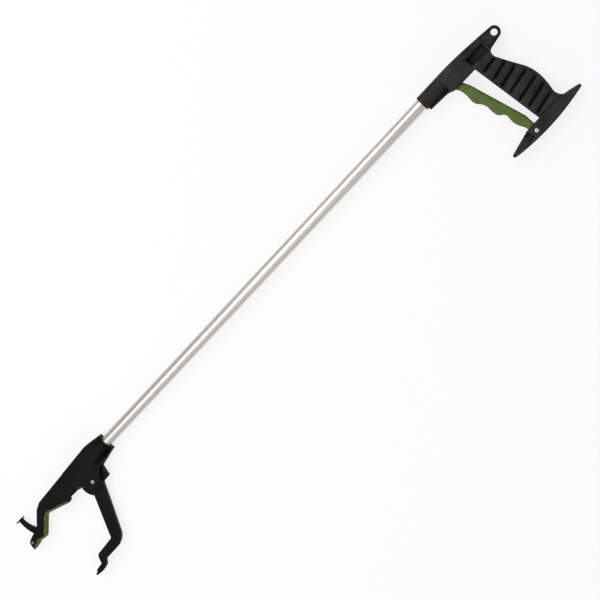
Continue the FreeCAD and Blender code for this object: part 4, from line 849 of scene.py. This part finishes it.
class REACHER_OT_liner(bpy.types.Operator):
    """Green rubber liner along the inner edge of the fixed jaw"""

    bl_idname = "reacher.liner"
    bl_label = "Liner"

    def execute(self, context):
        thickness = context.scene.reacher_jaws.liner / MM
        seat = np.array(LINER_SEAT)
        edge = np.diff(seat, axis=0)
        normal = np.stack([-edge[:, 1], edge[:, 0]], 1) / np.linalg.norm(edge, axis=1)[:, None]
        both = np.concatenate([normal[:1], normal]) + np.concatenate([normal, normal[-1:]])
        face = seat + 2 * both / (both**2).sum(1)[:, None] * thickness
        path = [tuple(spot) for spot in np.concatenate([seat, face[::-1]])]

        def height(spots, depth):
            return JAW_HALF - round_edge(depth, LINER_EDGE)

        piece = placed("liner_strip", slab(path, height, LINER_EDGE, pitch=1.2), HEAD_ZERO)
        finished(piece, liner_green(), "frame", "fixed_jaw_liner")
        return {"FINISHED"}


class REACHER_OT_metal(bpy.types.Operator):
    """Finishes of the tube, pins, springs and bushes, which keep their CAD shape"""

    bl_idname = "reacher.metal"
    bl_label = "Tube and small parts"

    def execute(self, context):
        finishes = {
            tube_metal: ["main_tube"],
            bright_metal: ["trigger_pin"],
            rivet_metal: ["jaw_rivet"],
            zinc_metal: ["tube_screws", "rear_clevis", "front_clevis", "rod_lock_nuts", "pull_rod",
                         "spring_seat_washer", "rear_link_pin", "front_link_pin", "jaw_rivet_washer"],
            spring_metal: ["collar_clip", "return_spring", "rear_pin_clip", "front_pin_clip",
                           "trigger_pin_clip"],
            magnet_metal: ["tip_magnet"],
            nylon: ["rear_bush", "front_bush", "spring_collar", "jaw_pivot_bush"],
        }
        for make, names in finishes.items():
            material = make()
            for name in names:
                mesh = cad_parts[name].data
                mesh.materials.clear()
                mesh.materials.append(material)
        return {"FINISHED"}


class REACHER_OT_studio(bpy.types.Operator):
    """White floor, soft light and the camera of the photograph"""

    bl_idname = "reacher.studio"
    bl_label = "Studio"

    def execute(self, context):
        sizes = context.scene.reacher_studio
        self.make_floor(sizes)
        self.make_lights(sizes)
        self.make_camera(context.scene)
        context.scene.view_settings.view_transform = "Standard"
        return {"FINISHED"}

    def make_floor(self, sizes):
        """Floor that shows white to the camera and keeps the object's shadow: part of it is lit as matt
        paint is, and the rest shows a plain white to camera and mirror rays."""
        half = sizes.floor
        mesh = bpy.data.meshes.new("floor")
        mesh.from_pydata([(-half, -half, 0), (half, -half, 0), (half, half, 0), (-half, half, 0)], [],
                         [(0, 1, 2, 3)])
        floor = bpy.data.objects.new("floor", mesh)
        bpy.context.scene.collection.objects.link(floor)
        floor.location.z = -FLOOR_GAP
        material = bpy.data.materials.new("floor_matt_white_paint")
        material.use_nodes = True
        tree = material.node_tree
        tree.nodes.clear()
        paint = node(tree, "ShaderNodeBsdfDiffuse", {"Color": (*sizes.backdrop, 1)})
        glow = node(tree, "ShaderNodeEmission", {"Color": (1, 1, 1, 1), "Strength": 1.0})
        path = node(tree, "ShaderNodeLightPath")
        seen = node(tree, "ShaderNodeMath", {"operation": "MAXIMUM"})
        tree.links.new(path.outputs["Is Camera Ray"], seen.inputs[0])
        tree.links.new(path.outputs["Is Glossy Ray"], seen.inputs[1])
        share = node(tree, "ShaderNodeMath", {"operation": "MULTIPLY"})
        tree.links.new(seen.outputs[0], share.inputs[0])
        share.inputs[1].default_value = FLOOR_GLOW
        mixed = node(tree, "ShaderNodeMixShader", Fac=share.outputs[0])
        tree.links.new(paint.outputs[0], mixed.inputs[1])
        tree.links.new(glow.outputs[0], mixed.inputs[2])
        node(tree, "ShaderNodeOutputMaterial", Surface=mixed.outputs[0])
        mesh.materials.append(material)

    def make_lights(self, sizes):
        """A large soft light above the tube's upper side, two weaker ones, and a plain grey sky that the
        camera sees as white."""
        for name, (place, size, share) in LIGHTS.items():
            data = bpy.data.lights.new(name, "AREA")
            data.energy = sizes.light * share
            data.size = size
            lamp = bpy.data.objects.new(name, data)
            lamp.location = place
            lamp.rotation_euler = (-Vector(place)).to_track_quat("-Z", "Y").to_euler()
            bpy.context.scene.collection.objects.link(lamp)
        world = bpy.data.worlds.new("studio")
        world.use_nodes = True
        tree = world.node_tree
        background = tree.nodes["Background"]
        background.inputs["Color"].default_value = (1, 1, 1, 1)
        path = node(tree, "ShaderNodeLightPath")
        seen = node(tree, "ShaderNodeMapRange", {"To Min": SKY_STRENGTH, "To Max": 1.0},
                    Value=path.outputs["Is Camera Ray"])
        tree.links.new(seen.outputs["Result"], background.inputs["Strength"])
        bpy.context.scene.world = world

    def make_camera(self, scene):
        """Camera of the photograph: nearly straight above, and turned so that the tube lies aslant."""
        data = bpy.data.cameras.new("camera")
        data.sensor_width = SENSOR_MM
        data.lens = LENS_MM
        data.clip_end = CAMERA_FAR
        lean = math.radians(CAMERA_LEAN)
        along = Vector((math.cos(lean), 0, math.sin(lean)))
        across = Vector((0, 1, 0))
        forward = Vector((math.sin(lean), 0, -math.cos(lean)))
        right = CAMERA_RIGHT[0] * along + CAMERA_RIGHT[1] * across
        up = -CAMERA_RIGHT[1] * along + CAMERA_RIGHT[0] * across
        camera = bpy.data.objects.new("camera", data)
        turn = Matrix((right, up, -forward)).transposed().to_4x4()
        camera.matrix_world = Matrix.Translation(Vector(CAMERA_AIM) - forward * CAMERA_DISTANCE) @ turn
        scene.collection.objects.link(camera)
        scene.camera = camera


class REACHER_PT_panel(bpy.types.Panel):
    """Pieces of the reacher grabber"""

    bl_idname = "REACHER_PT_panel"
    bl_label = "Reacher grabber"
    bl_space_type = "VIEW_3D"
    bl_region_type = "UI"
    bl_category = "Reacher"

    def draw(self, context):
        for name, group in GROUPS.items():
            box = self.layout.box()
            box.label(text=group.__name__)
            for prop in group.__annotations__:
                box.prop(getattr(context.scene, name), prop)
        for operator in OPERATORS:
            self.layout.operator(operator.bl_idname)


GROUPS = {
    "reacher_handle": HandleSizes,
    "reacher_trigger": TriggerSizes,
    "reacher_jaws": JawSizes,
    "reacher_studio": StudioSizes,
}
OPERATORS = [
    REACHER_OT_studio,
    REACHER_OT_metal,
    REACHER_OT_handle,
    REACHER_OT_trigger,
    REACHER_OT_jaw_head,
    REACHER_OT_moving_jaw,
    REACHER_OT_liner,
]


def register():
    """Adds the classes and the size groups to Blender."""
    for made in [*GROUPS.values(), *OPERATORS, REACHER_PT_panel]:
        bpy.utils.register_class(made)
    for name, group in GROUPS.items():
        setattr(bpy.types.Scene, name, PointerProperty(type=group))


def unregister():
    """Takes them out again."""
    for name in GROUPS:
        delattr(bpy.types.Scene, name)
    for made in reversed([*GROUPS.values(), *OPERATORS, REACHER_PT_panel]):
        bpy.utils.unregister_class(made)


def main():
    """Registers the classes and builds everything."""
    register()
    for operator in OPERATORS:
        group, name = operator.bl_idname.split(".")
        getattr(getattr(bpy.ops, group), name)()


if __name__ == "__main__":
    main()
